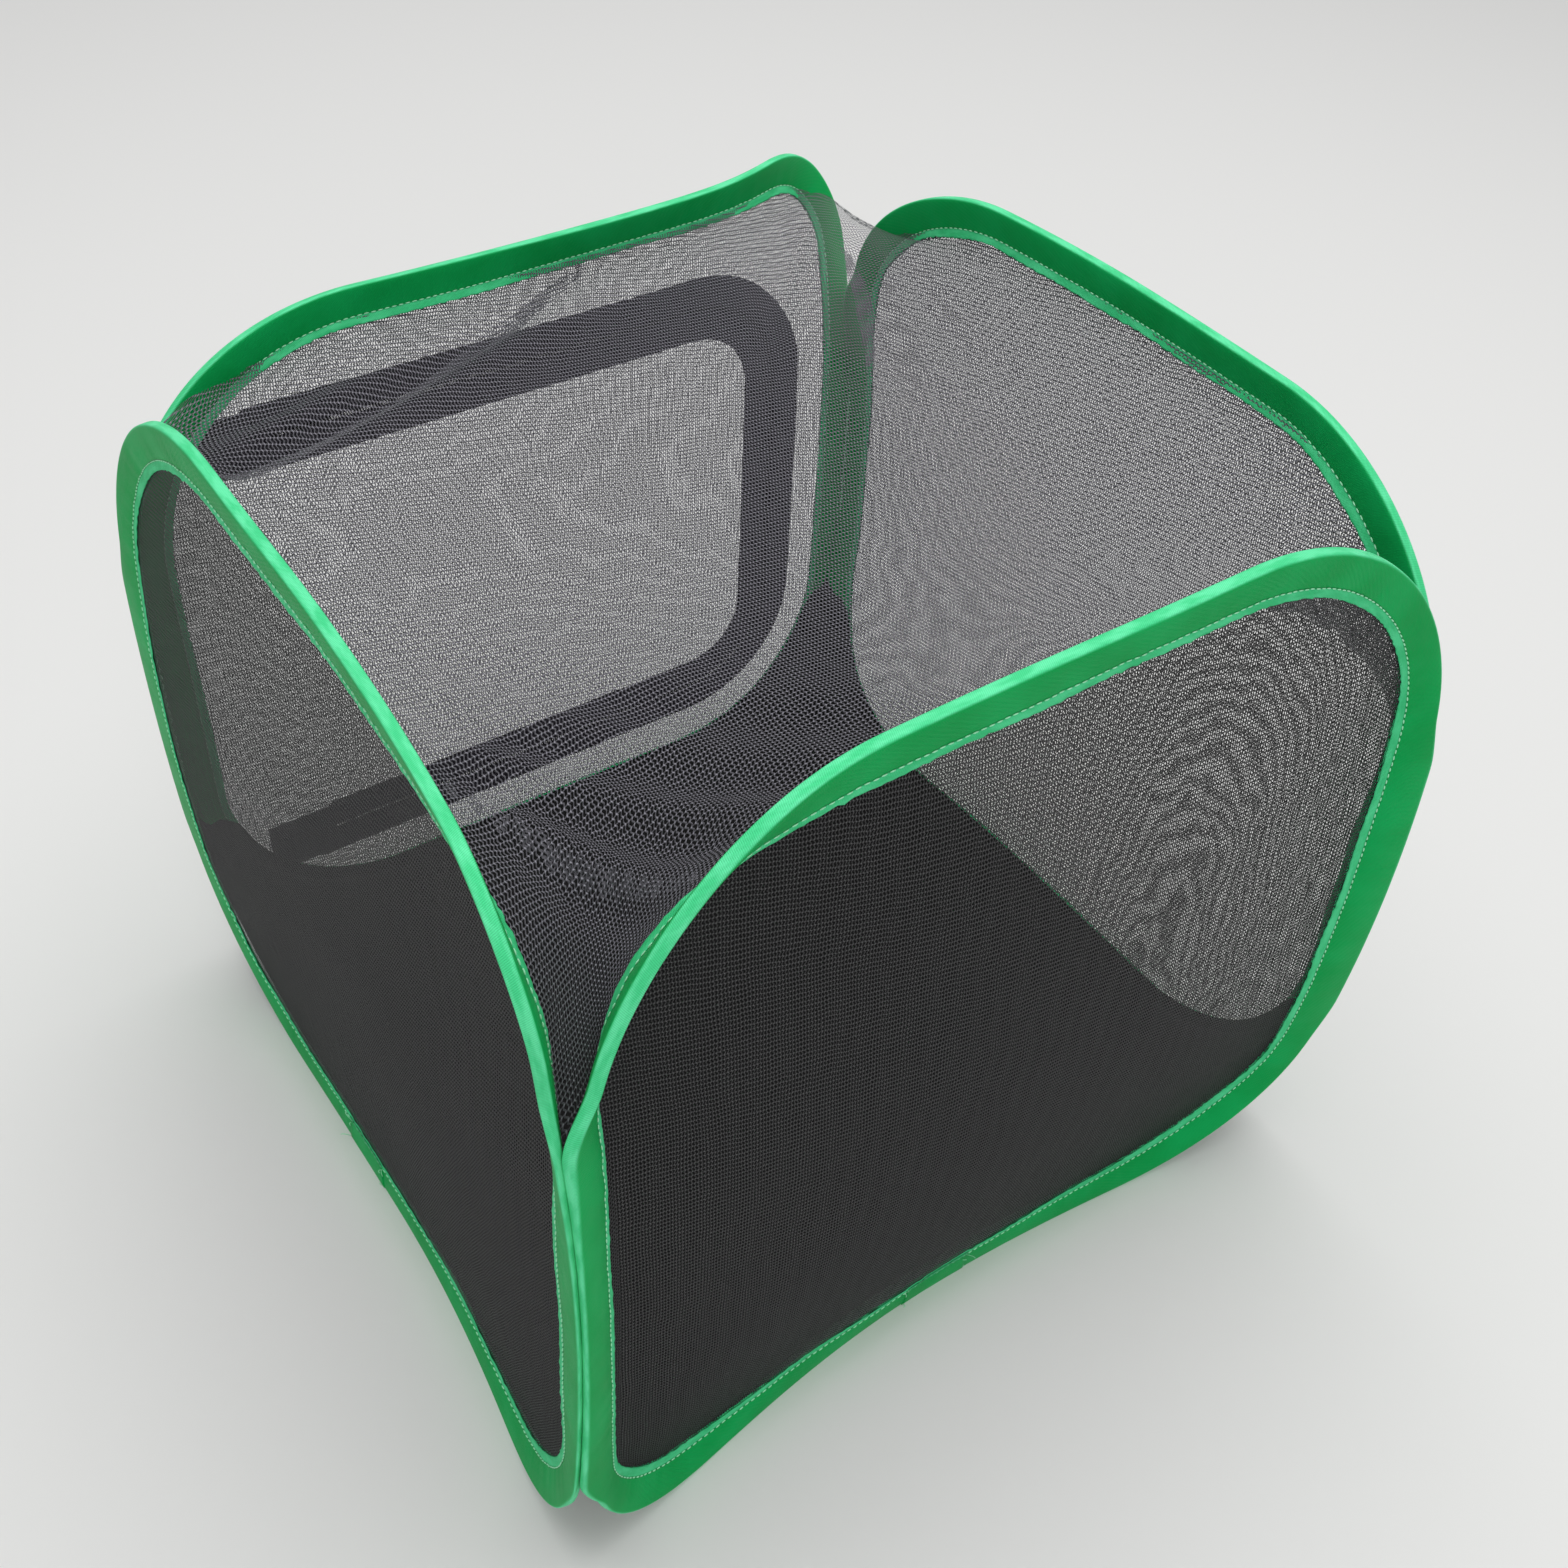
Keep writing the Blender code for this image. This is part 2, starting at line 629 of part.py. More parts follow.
def skin(upper, thickness, gap):
    """Grid of points of a cloth that hangs between the four seams."""
    depth = sleeve_thickness / 2 + gap + thickness / 2
    corner_level = corner_levels(upper)
    size = steps_per_quarter + 1
    grid = np.zeros((size, size, 3))
    edges = {}
    for name, wall in walls.items():
        if name in ("front", "back"):
            levels = (corner_level[(name, "left")], corner_level[(name, "right")])
        else:
            levels = (corner_level[("front", name)], corner_level[("back", name)])
        edges[name] = np.array(seam(wall, upper, levels, depth))
    grid[:, 0], grid[:, -1] = edges["front"], edges["back"]
    for name, column in (("left", 0), ("right", -1)):
        corner_low, corner_high = grid[column, 0].copy(), grid[column, -1].copy()
        grid[column] = edges[name]
        for row, other in ((0, corner_low), (-1, corner_high)):
            mine = grid[column, row]
            closer = np.where(np.abs(mine) < np.abs(other), mine, other)
            closer[2] = mine[2]
            grid[column, row] = closer
    for column in range(1, size - 1):
        share = column / (size - 1)
        for row in range(1, size - 1):
            grid[column, row] = grid[column, 0] + (grid[column, -1] - grid[column, 0]) * row / (size - 1)
    for turn in range(relax_rounds):
        grid[1:-1, 1:-1] = (grid[2:, 1:-1] + grid[:-2, 1:-1] + grid[1:-1, 2:] + grid[1:-1, :-2]) / 4
    steps = np.linspace(-1, 1, size)
    across, along = np.meshgrid(steps, steps, indexing="ij")
    if upper:
        grid[..., 2] -= top_sag * np.cos(across * math.pi / 2) * np.cos(along * math.pi / 2)
    else:
        near_edge = np.maximum(np.abs(across), np.abs(along)) ** floor_drop_power
        grid[..., 2] = thickness / 2 + (grid[..., 2] - thickness / 2) * near_edge
    return grid


for name, upper, thickness, gap, look in (("top_mesh", True, mesh_thickness, top_play, net_look),
                                          ("floor_cloth", False, floor_thickness, floor_play, cloth_look)):
    grid = skin(upper, thickness, gap)

    def skin_place(s, t, grid=grid):
        return grid[round((s + 1) / 2 * steps_per_quarter), round((t + 1) / 2 * steps_per_quarter)]

    add(name, sheet(skin_place, thickness, steps_per_quarter, steps_per_quarter), look, root)

# Corner seams: the stitching on each corner's fold line, from floor tip to top tip
lower_levels, upper_levels = corner_levels(False), corner_levels(True)
seam_carriers = {("front", "left"): root, ("front", "right"): root,
                 ("back", "left"): left_hinge, ("back", "right"): back_hinge}
for (one, other), spot in neighbours.items():
    x, y = (2 * spot[0] - 1) * hinge_x, (2 * spot[1] - 1) * hinge_y
    low = lower_levels[(one, other)] + seam_end_gap
    high = upper_levels[(one, other)] - seam_end_gap
    line = [Vector((x, y, low + (high - low) * step / thread_steps)) for step in range(thread_steps + 1)]
    add("seam_" + one + "_" + other, tube(line, seam_diameter, coil_sides, False), satin_look,
        seam_carriers[(one, other)], True)
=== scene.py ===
"""Pop-up butterfly habitat: the looks of a cage of four sprung hoops, net, a cloth floor and a zip door."""
import math
import random

import bmesh
import bpy
import numpy as np
from mathutils import Matrix, Vector


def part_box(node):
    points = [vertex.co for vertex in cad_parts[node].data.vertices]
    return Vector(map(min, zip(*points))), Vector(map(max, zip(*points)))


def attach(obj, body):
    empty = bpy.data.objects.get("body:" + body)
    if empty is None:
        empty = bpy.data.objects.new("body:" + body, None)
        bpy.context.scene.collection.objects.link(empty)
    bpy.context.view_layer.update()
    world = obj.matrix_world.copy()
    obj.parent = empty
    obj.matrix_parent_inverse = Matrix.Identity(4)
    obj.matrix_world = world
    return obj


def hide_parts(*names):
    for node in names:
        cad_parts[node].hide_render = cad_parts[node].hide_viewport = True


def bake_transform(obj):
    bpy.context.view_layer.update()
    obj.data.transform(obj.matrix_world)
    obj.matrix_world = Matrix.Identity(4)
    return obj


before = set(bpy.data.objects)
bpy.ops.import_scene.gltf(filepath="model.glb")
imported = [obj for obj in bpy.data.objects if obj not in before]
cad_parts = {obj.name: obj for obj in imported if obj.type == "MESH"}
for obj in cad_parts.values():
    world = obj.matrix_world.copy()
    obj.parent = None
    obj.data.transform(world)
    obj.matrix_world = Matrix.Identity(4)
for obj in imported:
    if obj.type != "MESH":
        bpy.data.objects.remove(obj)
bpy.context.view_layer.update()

# Spring hoops. Each side of the cage is held open by one loop of drawn spring wire, whose two ends are let
# into a short steel ferrule. The forms of the four loops are here. Each wire is made with its sleeve, since
# it runs down the sleeve's middle.
cage_side = 0.400
hoop_height = 0.380
sleeve_thick = 0.005
fold_line = cage_side / 2 - sleeve_thick
half_wall = fold_line - 0.00085
wall_reach = cage_side / 2 - sleeve_thick / 2
wire_inset = 0.0031
corner_peak = 0.015
peak_spread = 0.034
hoop_forms = {
    "front": {"radii": (0.170, 0.236, 0.331, 0.292), "height": 1.033, "flat": 0.0,
              "top": -0.030, "bottom": -0.088, "start": -0.015, "end": -0.050, "lean": 2, "peak": 0,
              "twist": ((0, 26), (0.1, 26), (0.2, 18), (0.3, 6), (0.5, 0), (0.7, 12), (0.8, 22), (0.9, 29),
                        (1.0, 29), (1.1, 22), (1.25, 18), (1.5, 26), (1.75, 24), (1.9, 5), (2.1, 4), (2.4, 8),
                        (2.6, 5), (2.7, 1), (2.8, 6), (2.9, 22), (2.97, 46), (3.05, 58), (3.15, 58), (3.22, 50),
                        (3.35, 33), (3.5, 32), (3.8, 32)),
              "gather": ((0, 1), (3.1, 1), (3.28, 0.80), (3.42, 0.68), (3.76, 0.68), (3.9, 0.85))},
    "left": {"radii": (0.210, 0.232, 0.353, 0.150), "height": 1.001, "flat": 0.0,
             "top": -0.012, "bottom": -0.031, "start": 0.028, "end": -0.027, "lean": 2, "peak": 0,
             "twist": ((0, 12), (0.1, 12), (0.25, 8), (0.5, 3), (1, 4), (1.2, -5), (1.5, -8), (1.75, 0), (1.9, 4),
                       (2.1, 4), (2.3, 0), (2.5, 4), (2.7, 6), (2.8, 4), (2.9, 8), (3.0, 18), (3.1, 30),
                       (3.2, 36), (3.3, 21), (3.42, 10), (3.8, 10)),
             "gather": ((0, 1),)},
    "back": {"radii": (0.280, 0.280, 0.140, 0.306), "height": 0.945, "flat": 0.66,
             "top": -0.022, "bottom": 0.000, "start": 0.002, "end": 0.035, "lean": 6, "peak": corner_peak,
             "twist": ((0, 0), (0.5, 0), (0.9, 6), (1.2, 12), (1.8, 12), (2.1, 8), (2.3, 0), (2.4, 0), (2.6, 16),
                       (2.8, 14), (2.95, 5), (3.5, 0)),
             "gather": ((0, 1),)},
    "right": {"radii": (0.280, 0.280, 0.266, 0.305), "height": 0.968, "flat": 0.0,
              "top": 0.014, "bottom": 0.000, "start": -0.006, "end": -0.060, "lean": 2, "peak": 0,
              "twist": ((0, -4), (0.5, 0), (0.9, 4), (1.2, 6), (1.8, 6), (2.1, 2), (2.4, 0), (2.7, -3), (2.9, 10),
                        (3.05, 4), (3.5, -6)),
              "gather": ((0, 1),)},
}
corner_points = 41
table_blur = 0.022


def run_lengths(points):
    """Length so far at each point of a flat line."""
    return np.concatenate([[0.0], np.cumsum(np.hypot(*np.diff(points[:, :2], axis=0).T))])


def corner_marks(line):
    """Lengths at the middles of a loop's four corners, and at the first of them a whole turn later."""
    marks = [line[corner_points // 2 + corner_points * turn, 4] for turn in range(4)]
    return marks + [marks[0] + line[-1, 4]]


def eased(share):
    """A share from 0 to 1 with a soft start and end."""
    return share ** 2 * (3 - 2 * share)


class Hoop:
    """The line of one hoop: a rounded loop on its wall, whose edges bow out of the wall's plane. Its sleeve
    twists about the wire where two nets draw it inwards."""

    def __init__(self, name):
        form = hoop_forms[name]
        self.name, self.form = name, form
        self.body = name + "_panel"
        self.height = hoop_height * form["height"]
        self.radii = [hoop_height * share for share in form["radii"]]
        self.line = self.walk((-half_wall, half_wall, 0.0, self.height), self.radii)

    def bulge(self, u, v):
        form = self.form
        lift = 2 * v / self.height - 1
        grow = (np.maximum(np.abs(lift) - form["flat"], 0) / (1 - form["flat"])) ** 2
        side = u / half_wall
        middle = np.where(lift > 0, form["top"], form["bottom"])
        end = np.where(side < 0, form["start"], form["end"])
        lean = lift ** 2 * end * np.abs(side) ** form["lean"]
        round_off = self.radii[2] * (1 - math.sqrt(0.5))
        away = (u - half_wall + round_off) ** 2 + (v - self.height + round_off) ** 2
        peak = form["peak"] * np.exp(-away / (2 * peak_spread ** 2))
        return hoop_height * (grow * middle * np.cos(side * math.pi / 2) + lean) + peak

    def place(self, u, v, inward):
        """Points of the wall in the cage, at a depth measured inwards from the net."""
        u, v, inward = np.broadcast_arrays(u, v, inward)
        out = wall_reach + self.bulge(u, v) - inward
        across = {"front": (u, -out), "back": (u, out), "left": (-out, u), "right": (out, u)}[self.name]
        return np.stack([across[0], across[1], v], axis=-1)

    def read(self, table, run):
        """A value at a length along the loop, from marks that count the corners."""
        marks = corner_marks(self.line)
        share = np.interp((run - marks[0]) % self.line[-1, 4] + marks[0], marks, range(5))
        shares, values = zip(*self.form[table])
        blur = [np.interp(share + step * table_blur, shares, values, period=4) for step in range(-4, 5)]
        return sum(blur) / len(blur)

    def twist(self, run):
        """Angle of the sleeve at a length along the loop, in radians; above 0 its hem is inwards."""
        return np.radians(self.read("twist", run))

    def turned(self, run, inset, depth):
        """Inset and outward depth of a point of the sleeve, after its twist about the wire."""
        angle = self.twist(run)
        arm = inset - wire_inset
        return (wire_inset + arm * np.cos(angle) + depth * np.sin(angle),
                depth * np.cos(angle) - arm * np.sin(angle))

    @staticmethod
    def walk(rect, radii):
        """A rounded loop as rows of u, v, inward normal u and v, and length so far."""
        low_u, high_u, low_v, high_v = rect
        corners = ((low_u, low_v, 1, 1), (high_u, low_v, -1, 1),
                   (high_u, high_v, -1, -1), (low_u, high_v, 1, -1))
        rows = []
        for turn, ((u, v, along, up), radius) in enumerate(zip(corners, radii)):
            for step in range(corner_points):
                angle = math.radians(180 + 90 * turn + 90 * step / (corner_points - 1))
                out = (math.cos(angle), math.sin(angle))
                rows.append((u + along * radius + out[0] * radius, v + up * radius + out[1] * radius,
                             -out[0], -out[1]))
        rows.append(rows[0])
        rows = np.array(rows)
        return np.column_stack([rows, run_lengths(rows)])

    def stations(self, count):
        """The loop at even steps: u, v, normal u, normal v and length, without the closing repeat."""
        runs = np.linspace(0, self.line[-1, 4], count, endpoint=False)
        return [np.interp(runs, self.line[:, 4], self.line[:, column]) for column in range(5)]


class Link:
    """A socket of a finish, so that a pattern can be written as a sum."""

    def __init__(self, finish, socket):
        self.finish, self.socket = finish, socket

    def work(self, operation, *values):
        return self.finish.node("ShaderNodeMath", {"operation": operation}, dict(enumerate(values)))

    def __add__(self, other):
        return self.work("ADD", self, other)

    def __sub__(self, other):
        return self.work("SUBTRACT", self, other)

    def __rsub__(self, other):
        return self.work("SUBTRACT", other, self)

    def __mul__(self, other):
        return self.work("MULTIPLY", self, other)

    def __truediv__(self, other):
        return self.work("DIVIDE", self, other)

    def __mod__(self, other):
        return self.work("FLOORED_MODULO", self, other)

    def __pow__(self, other):
        return self.work("POWER", self, other)

    def __abs__(self):
        return self.work("ABSOLUTE", self)

    def __lt__(self, other):
        return self.work("LESS_THAN", self, other)

    def __gt__(self, other):
        return self.work("GREATER_THAN", self, other)

    __radd__ = __add__
    __rmul__ = __mul__

    def sine(self):
        return self.work("SINE", self)

    def most(self, other):
        return self.work("MAXIMUM", self, other)

    def clear(self, low, high):
        """0 below low, 1 above high, smooth between."""
        return self.finish.node("ShaderNodeMapRange", {"interpolation_type": "SMOOTHSTEP"},
                                {"Value": self, "From Min": low, "From Max": high})


class Finish:
    """A material of the cage, built from nodes."""

    def __init__(self, name, **settings):
        self.material = bpy.data.materials.new(name)
        self.material.use_nodes = True
        self.tree = self.material.node_tree
        self.shader = self.tree.nodes["Principled BSDF"]
        for key, value in settings.items():
            self.shader.inputs[key.replace("_", " ")].default_value = value

    def node(self, kind, settings=None, sockets=None, out=0):
        """One node, from its type, its settings and the values or links of its sockets."""
        made = self.tree.nodes.new(kind)
        for key, value in (settings or {}).items():
            if key == "stops":
                ramp = made.color_ramp.elements
                while len(ramp) < len(value):
                    ramp.new(0.5)
                for element, (position, colour) in zip(ramp, value):
                    element.position, element.color = position, colour
            else:
                setattr(made, key, value)
        for key, value in (sockets or {}).items():
            if isinstance(value, Link):
                self.tree.links.new(value.socket, made.inputs[key])
            else:
                made.inputs[key].default_value = value
        return Link(self, made.outputs[out])

    def where(self, source):
        """The three coordinates of a texture source, UV or Object, and the vector itself."""
        vector = self.node("ShaderNodeTexCoord", out=source)
        parts = self.node("ShaderNodeSeparateXYZ", None, {0: vector})
        node = parts.socket.node
        return vector, [Link(self, node.outputs[axis]) for axis in range(3)]

    def noise(self, vector, scale, detail=2.0, stretch=(1, 1, 1)):
        spread = self.node("ShaderNodeVectorMath", {"operation": "MULTIPLY"}, {0: vector, 1: stretch})
        return self.node("ShaderNodeTexNoise", None, {"Vector": spread, "Scale": scale, "Detail": detail})

    def mix(self, factor, first, second):
        """A colour mix."""
        mixed = self.node("ShaderNodeMix", {"data_type": "RGBA"})
        node = mixed.socket.node
        for index, value in ((0, factor), (6, first), (7, second)):
            if isinstance(value, Link):
                self.tree.links.new(value.socket, node.inputs[index])
            else:
                node.inputs[index].default_value = value
        return Link(self, node.outputs[2])

    def bump(self, height, distance, strength=1.0):
        self.feed("Normal", self.node("ShaderNodeBump", None,
                                      {"Height": height, "Distance": distance, "Strength": strength}))

    def feed(self, socket, value):
        self.tree.links.new(value.socket, self.shader.inputs[socket])


def dress(thing, *finishes):
    """Gives a piece its finish, in place of what it had."""
    thing.data.materials.clear()
    for finish in finishes:
        thing.data.materials.append(finish.material)


def chart(along, across):
    """UV places of a grid, from where its points lie along and across it."""
    return np.stack(np.broadcast_arrays(along, across), axis=-1)


def skin_mesh(name, places, uv, loop_u=None):
    """A grid of points made a mesh with its UV map; loop_u closes its first direction at that length."""
    rows, columns = places.shape[:2]
    mesh = bpy.data.meshes.new(name)
    closed = loop_u is not None
    faces, corners = [], []
    for row in range(rows if closed else rows - 1):
        after = (row + 1) % rows
        for column in range(columns - 1):
            faces.append((row * columns + column, after * columns + column,
                          after * columns + column + 1, row * columns + column + 1))
            for place in ((row, column), (row + 1, column), (row + 1, column + 1), (row, column + 1)):
                if place[0] == rows:
                    corners.append((loop_u, uv[0, place[1], 1]))
                else:
                    corners.append(tuple(uv[place]))
    mesh.from_pydata(places.reshape(-1, 3).tolist(), [], faces)
    layer = mesh.uv_layers.new(name="UVMap")
    layer.data.foreach_set("uv", np.array(corners, np.float32).ravel())
    mesh.polygons.foreach_set("use_smooth", [True] * len(faces))
    return mesh


def turned_out(mesh, weld=0.0):
    """The mesh with its doubles merged and its faces turned outwards."""
    work = bmesh.new()
    work.from_mesh(mesh)
    if weld:
        bmesh.ops.remove_doubles(work, verts=work.verts, dist=weld)
    bmesh.ops.recalc_face_normals(work, faces=work.faces)
    work.to_mesh(mesh)
    work.free()
    return mesh


def flat_tube(name, top, bottom, along, across):
    """A strip with two faces, from the points of its top and of its bottom."""
    ring = np.concatenate([top, bottom[:, ::-1], top[:, :1]], axis=1)
    return turned_out(skin_mesh(name, ring, chart(along, across)), merge_reach)


def smooth_mesh(work, name):
    """A smooth mesh, its faces outwards, of what bmesh holds."""
    mesh = bpy.data.meshes.new(name)
    work.to_mesh(mesh)
    work.free()
    mesh.polygons.foreach_set("use_smooth", [True] * len(mesh.polygons))
    return turned_out(mesh)


def capped(mesh):
    """The mesh with its open ends closed."""
    work = bmesh.new()
    work.from_mesh(mesh)
    bmesh.ops.holes_fill(work, edges=[edge for edge in work.edges if edge.is_boundary])
    work.to_mesh(mesh)
    work.free()
    return turned_out(mesh)


def in_scene(name, data):
    """A new object in the scene."""
    thing = bpy.data.objects.new(name, data)
    bpy.context.scene.collection.objects.link(thing)
    return thing


def put(name, mesh, finish, body, slot, *nodes):
    """A finished piece in the scene, on its body, standing for its nodes."""
    piece = in_scene(name, mesh)
    dress(piece, finish)
    if body:
        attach(piece, body)
    if nodes:
        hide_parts(*nodes)
    return piece


merge_reach = 0.000001
drawn_steel = Finish("drawn_spring_steel", Metallic=1.0, Roughness=0.32)
vector, _ = drawn_steel.where(3)
streaks = drawn_steel.noise(vector, 900.0, 3.0)
stain = drawn_steel.noise(vector, 60.0, 4.0)
drawn_steel.feed("Base Color", drawn_steel.mix(stain.clear(0.45, 0.7), (0.55, 0.55, 0.57, 1),
                                               (0.34, 0.31, 0.28, 1)))
drawn_steel.feed("Roughness", 0.24 + streaks * 0.25)
drawn_steel.bump(streaks, 0.00005, 0.4)

hoops = {name: Hoop(name) for name in hoop_forms}
for name in hoops:
    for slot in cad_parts["ferrule_" + name].material_slots:
        slot.material = drawn_steel.material

# Sleeves. A satin tape is folded over each hoop and sewn down to both faces of the net. Its edge over the wire is
# flat, with a painted highlight along it, its faces taper to the stitch line, and its two hems ruffle free below
# that.
stitch_inset = 0.0144
leaf_wide = 0.0182
sleeve_stations = 600
flare_deep = 0.0014
leaf_front = ((18.2, 0.52), (17.6, 0.66), (16.7, 0.70), (15.7, 0.68), (14.9, 0.60), (14.4, 0.52), (13.8, 0.68),
              (12.4, 1.02), (9.8, 1.50), (6.9, 1.98), (4.2, 2.32), (2.2, 2.44), (1.1, 2.42), (0.42, 2.24),
              (0.08, 1.86), (0.0, 1.0))
leaf_inside = ((18.2, 0.18), (16.7, 0.22), (14.4, 0.12), (11.0, 0.48), (6.9, 1.42), (3.0, 1.92), (1.0, 1.50),
               (0.6, 0.0))


def ripple(run, length, short, long, seed):
    """A wandering wave round a loop, whose waves are from short to long, about 1 high."""
    chance = random.Random(seed)
    waves = range(max(1, round(length / long)), round(length / short) + 1)
    total = np.zeros_like(run)
    for count in waves:
        high = chance.gauss(0, 1)
        shift = chance.uniform(0, 2 * math.pi)
        total += high * np.sin(2 * math.pi * count * run / length + shift)
    return total / math.sqrt(len(waves) / 2)


satin = Finish("green_satin_tape", Roughness=0.42, Specular_IOR_Level=0.07,
               Specular_Tint=(0.25, 1.0, 0.55, 1.0))
vector, (along, across, _) = satin.where(2)
section_length = 0.0418
from_hem = abs((across / section_length) * 2 - 1)
# Edge band: where a painted highlight, the satin's sheen, lightens the outer edge over the wire.
edge_highlight_band = 1 - from_hem.clear(0.09, 0.15)
# Hem band: where the hem is painted lighter as a painted fold highlight; the mask also roughens the hem.
hem_band = from_hem.clear(0.79, 0.84)
# Painted shade in the dip along the stitch line.
seam_dip_shade = 1 - abs(from_hem - 0.806).clear(0.012, 0.030)
cloud = satin.noise(vector, 30.0, 3.0)
grain = satin.noise(vector, 260.0, 3.0, (0.25, 1, 1))
face_green = satin.mix(cloud.clear(0.3, 0.7), (0.005, 0.375, 0.080, 1), (0.008, 0.455, 0.112, 1))
# Hem colour, lighter than the face: painted fold highlight.
hem_highlight_green = satin.mix(grain.clear(0.3, 0.7), (0.050, 0.60, 0.230, 1), (0.100, 0.76, 0.34, 1))
# Edge colour, lighter than the face: painted highlight of the satin's sheen.
edge_highlight_green = satin.mix(grain.clear(0.35, 0.65), (0.075, 0.70, 0.29, 1), (0.150, 0.86, 0.43, 1))
colour = satin.mix(hem_band, face_green, hem_highlight_green)
colour = satin.mix(edge_highlight_band, colour, edge_highlight_green)
# Darkens the stitch line: painted shade.
colour = satin.mix(seam_dip_shade * 0.6, colour, (0.004, 0.17, 0.045, 1))
weft = (across * (2 * math.pi / 0.0021) + along * (2 * math.pi / 0.00072)).sine()
satin.feed("Base Color", satin.mix(weft.clear(-0.2, 1.0) * 0.22, colour, (0.004, 0.12, 0.035, 1)))
warp = (along * (2 * math.pi / 0.0006)).sine()
satin.feed("Roughness", 0.34 + grain * 0.16 + hem_band * 0.10)
satin.bump(weft * 0.4 + warp * 0.25 + grain * 1.4, 0.00012, 0.7)

wire_radius = 0.00095
wire_sides = 8
outer = [(inset / 1000, depth / 1000) for inset, depth in leaf_front]
wire_columns = [10, 11, 2 * len(outer) - 12, 2 * len(outer) - 11]
inner = [(inset / 1000, depth / 1000) for inset, depth in leaf_inside]
section = np.array(outer + [(inset, -depth) for inset, depth in reversed(outer)]
                   + [(inset, -depth) for inset, depth in inner] + list(reversed(inner[:-1])) + outer[:1])
section_runs = run_lengths(section)
outside_share = section_runs[2 * len(outer) - 1]
section_v = np.where(section_runs <= outside_share, section_runs / outside_share, 0.99) * section_length


corners = {("front", "left"): (0, 0), ("front", "right"): (1, 0),
           ("back", "left"): (0, 1), ("back", "right"): (1, 1)}
meeting_gap = 0.00025
mitre_deep = 0.009
mitre_fade = 0.030


def parting_heights(one, other):
    """Lowest and highest heights at which two neighbouring hoops still stand side by side."""
    spot = corners[one, other]
    both = [(hoops[name], place) for name, place in zip((one, other), spot)]
    bottoms = [hoop.radii[1 if place else 0] for hoop, place in both]
    tops = [hoop.height - hoop.radii[2 if place else 3] for hoop, place in both]
    return max(bottoms), min(tops)


def mitred(hoop, u, v, inset, depth):
    """Inset of a sleeve point where its outer edge is pressed against the neighbour's, corner by corner."""
    for pair, spot in corners.items():
        if hoop.name not in pair:
            continue
        own, other = (0, 1) if pair[0] == hoop.name else (1, 0)
        side, far_side = [(-1, 1)[spot[place]] for place in (own, other)]
        low, high = parting_heights(*pair)
        fade = np.clip((v - low) / mitre_fade + 1, 0, 1) * np.clip((high - v) / mitre_fade + 1, 0, 1)
        push = hoops[pair[other]].bulge(far_side * half_wall, v)
        grow = np.maximum(wall_reach + push + depth - half_wall - meeting_gap, 0)
        here = np.where(np.sign(u) == side, eased(fade), 0)
        inset = inset - here * grow * np.clip(1 - inset / mitre_deep, 0, 1)
    return inset


hem_waves = (0.006, 0.016)
hem_ease = 0.005


def sleeve_points(hoop, stations, swell=0.0):
    """Places round a sleeve at the given stations: the folded tape, its puckers and its ruffled hems."""
    u, v, normal_u, normal_v, run = [column[:, None] for column in stations]
    length = hoop.line[-1, 4]
    seed = list(hoop_forms).index(hoop.name) * 10
    inset, depth = section[None, :, 0], section[None, :, 1]
    side = np.sign(depth)
    hem = np.clip((inset - stitch_inset) / (leaf_wide - stitch_inset), 0, 1)
    body_part = np.clip(inset / stitch_inset, 0, 1) * np.clip((leaf_wide - inset) / hem_ease, 0, 1)
    ruffles = [np.maximum(ripple(run, length, *hem_waves, seed + leaf), -0.3) for leaf in (1, 2)]
    ruffle = np.where(side > 0, *ruffles)
    pucker = ripple(run, length, 0.009, 0.028, seed + 3) + 0.6 * ripple(run, length, 0.004, 0.008, seed + 4)
    wander = ripple(run, length, 0.05, 0.30, seed + 5)
    bow = ripple(run, length, 0.06, 0.25, seed + 6)
    moved = depth + side * (hem * (0.00008 + 0.00016 * ruffle) + body_part * 0.00010 * pucker)
    moved = moved + bow * 0.00020 * inset / leaf_wide + side * swell
    level = np.clip((-normal_v - 0.35) / 0.4, 0, 1) * (side < 0)
    moved = moved - level * hem ** 1.3 * (flare_deep + 0.00012 * ripple(run, length, 0.006, 0.02, seed + 8))
    frayed = inset + hem * (0.00013 * ripple(run, length, 0.003, 0.009, seed + 7) + 0.00025 * wander)
    frayed, moved = hoop.turned(run, frayed * hoop.read("gather", run), moved)
    frayed = mitred(hoop, u, v, frayed, moved)
    return hoop.place(u + normal_u * frayed, v + normal_v * frayed, -moved)


def wire_rings(places):
    """Rings of a round wire that runs down the middle of a sleeve, and how far round each point is."""
    middle = places[:, wire_columns].mean(axis=1)
    ahead = np.roll(middle, -1, axis=0) - np.roll(middle, 1, axis=0)
    sideways = np.cross(ahead, places[:, 0] - middle)
    ahead, sideways = [way / np.linalg.norm(way, axis=1)[:, None] for way in (ahead, sideways)]
    level = np.cross(sideways, ahead)
    turn = np.linspace(0, 2 * math.pi, wire_sides + 1)[None, :, None]
    ring = middle[:, None] + wire_radius * (level[:, None] * np.cos(turn) + sideways[:, None] * np.sin(turn))
    return ring, turn[..., 0] * wire_radius


def loop_skin(name, hoop, places, runs, round_way):
    """A closed skin round a whole hoop."""
    return turned_out(skin_mesh(name, places, chart(runs[:, None], round_way), hoop.line[-1, 4]), merge_reach)


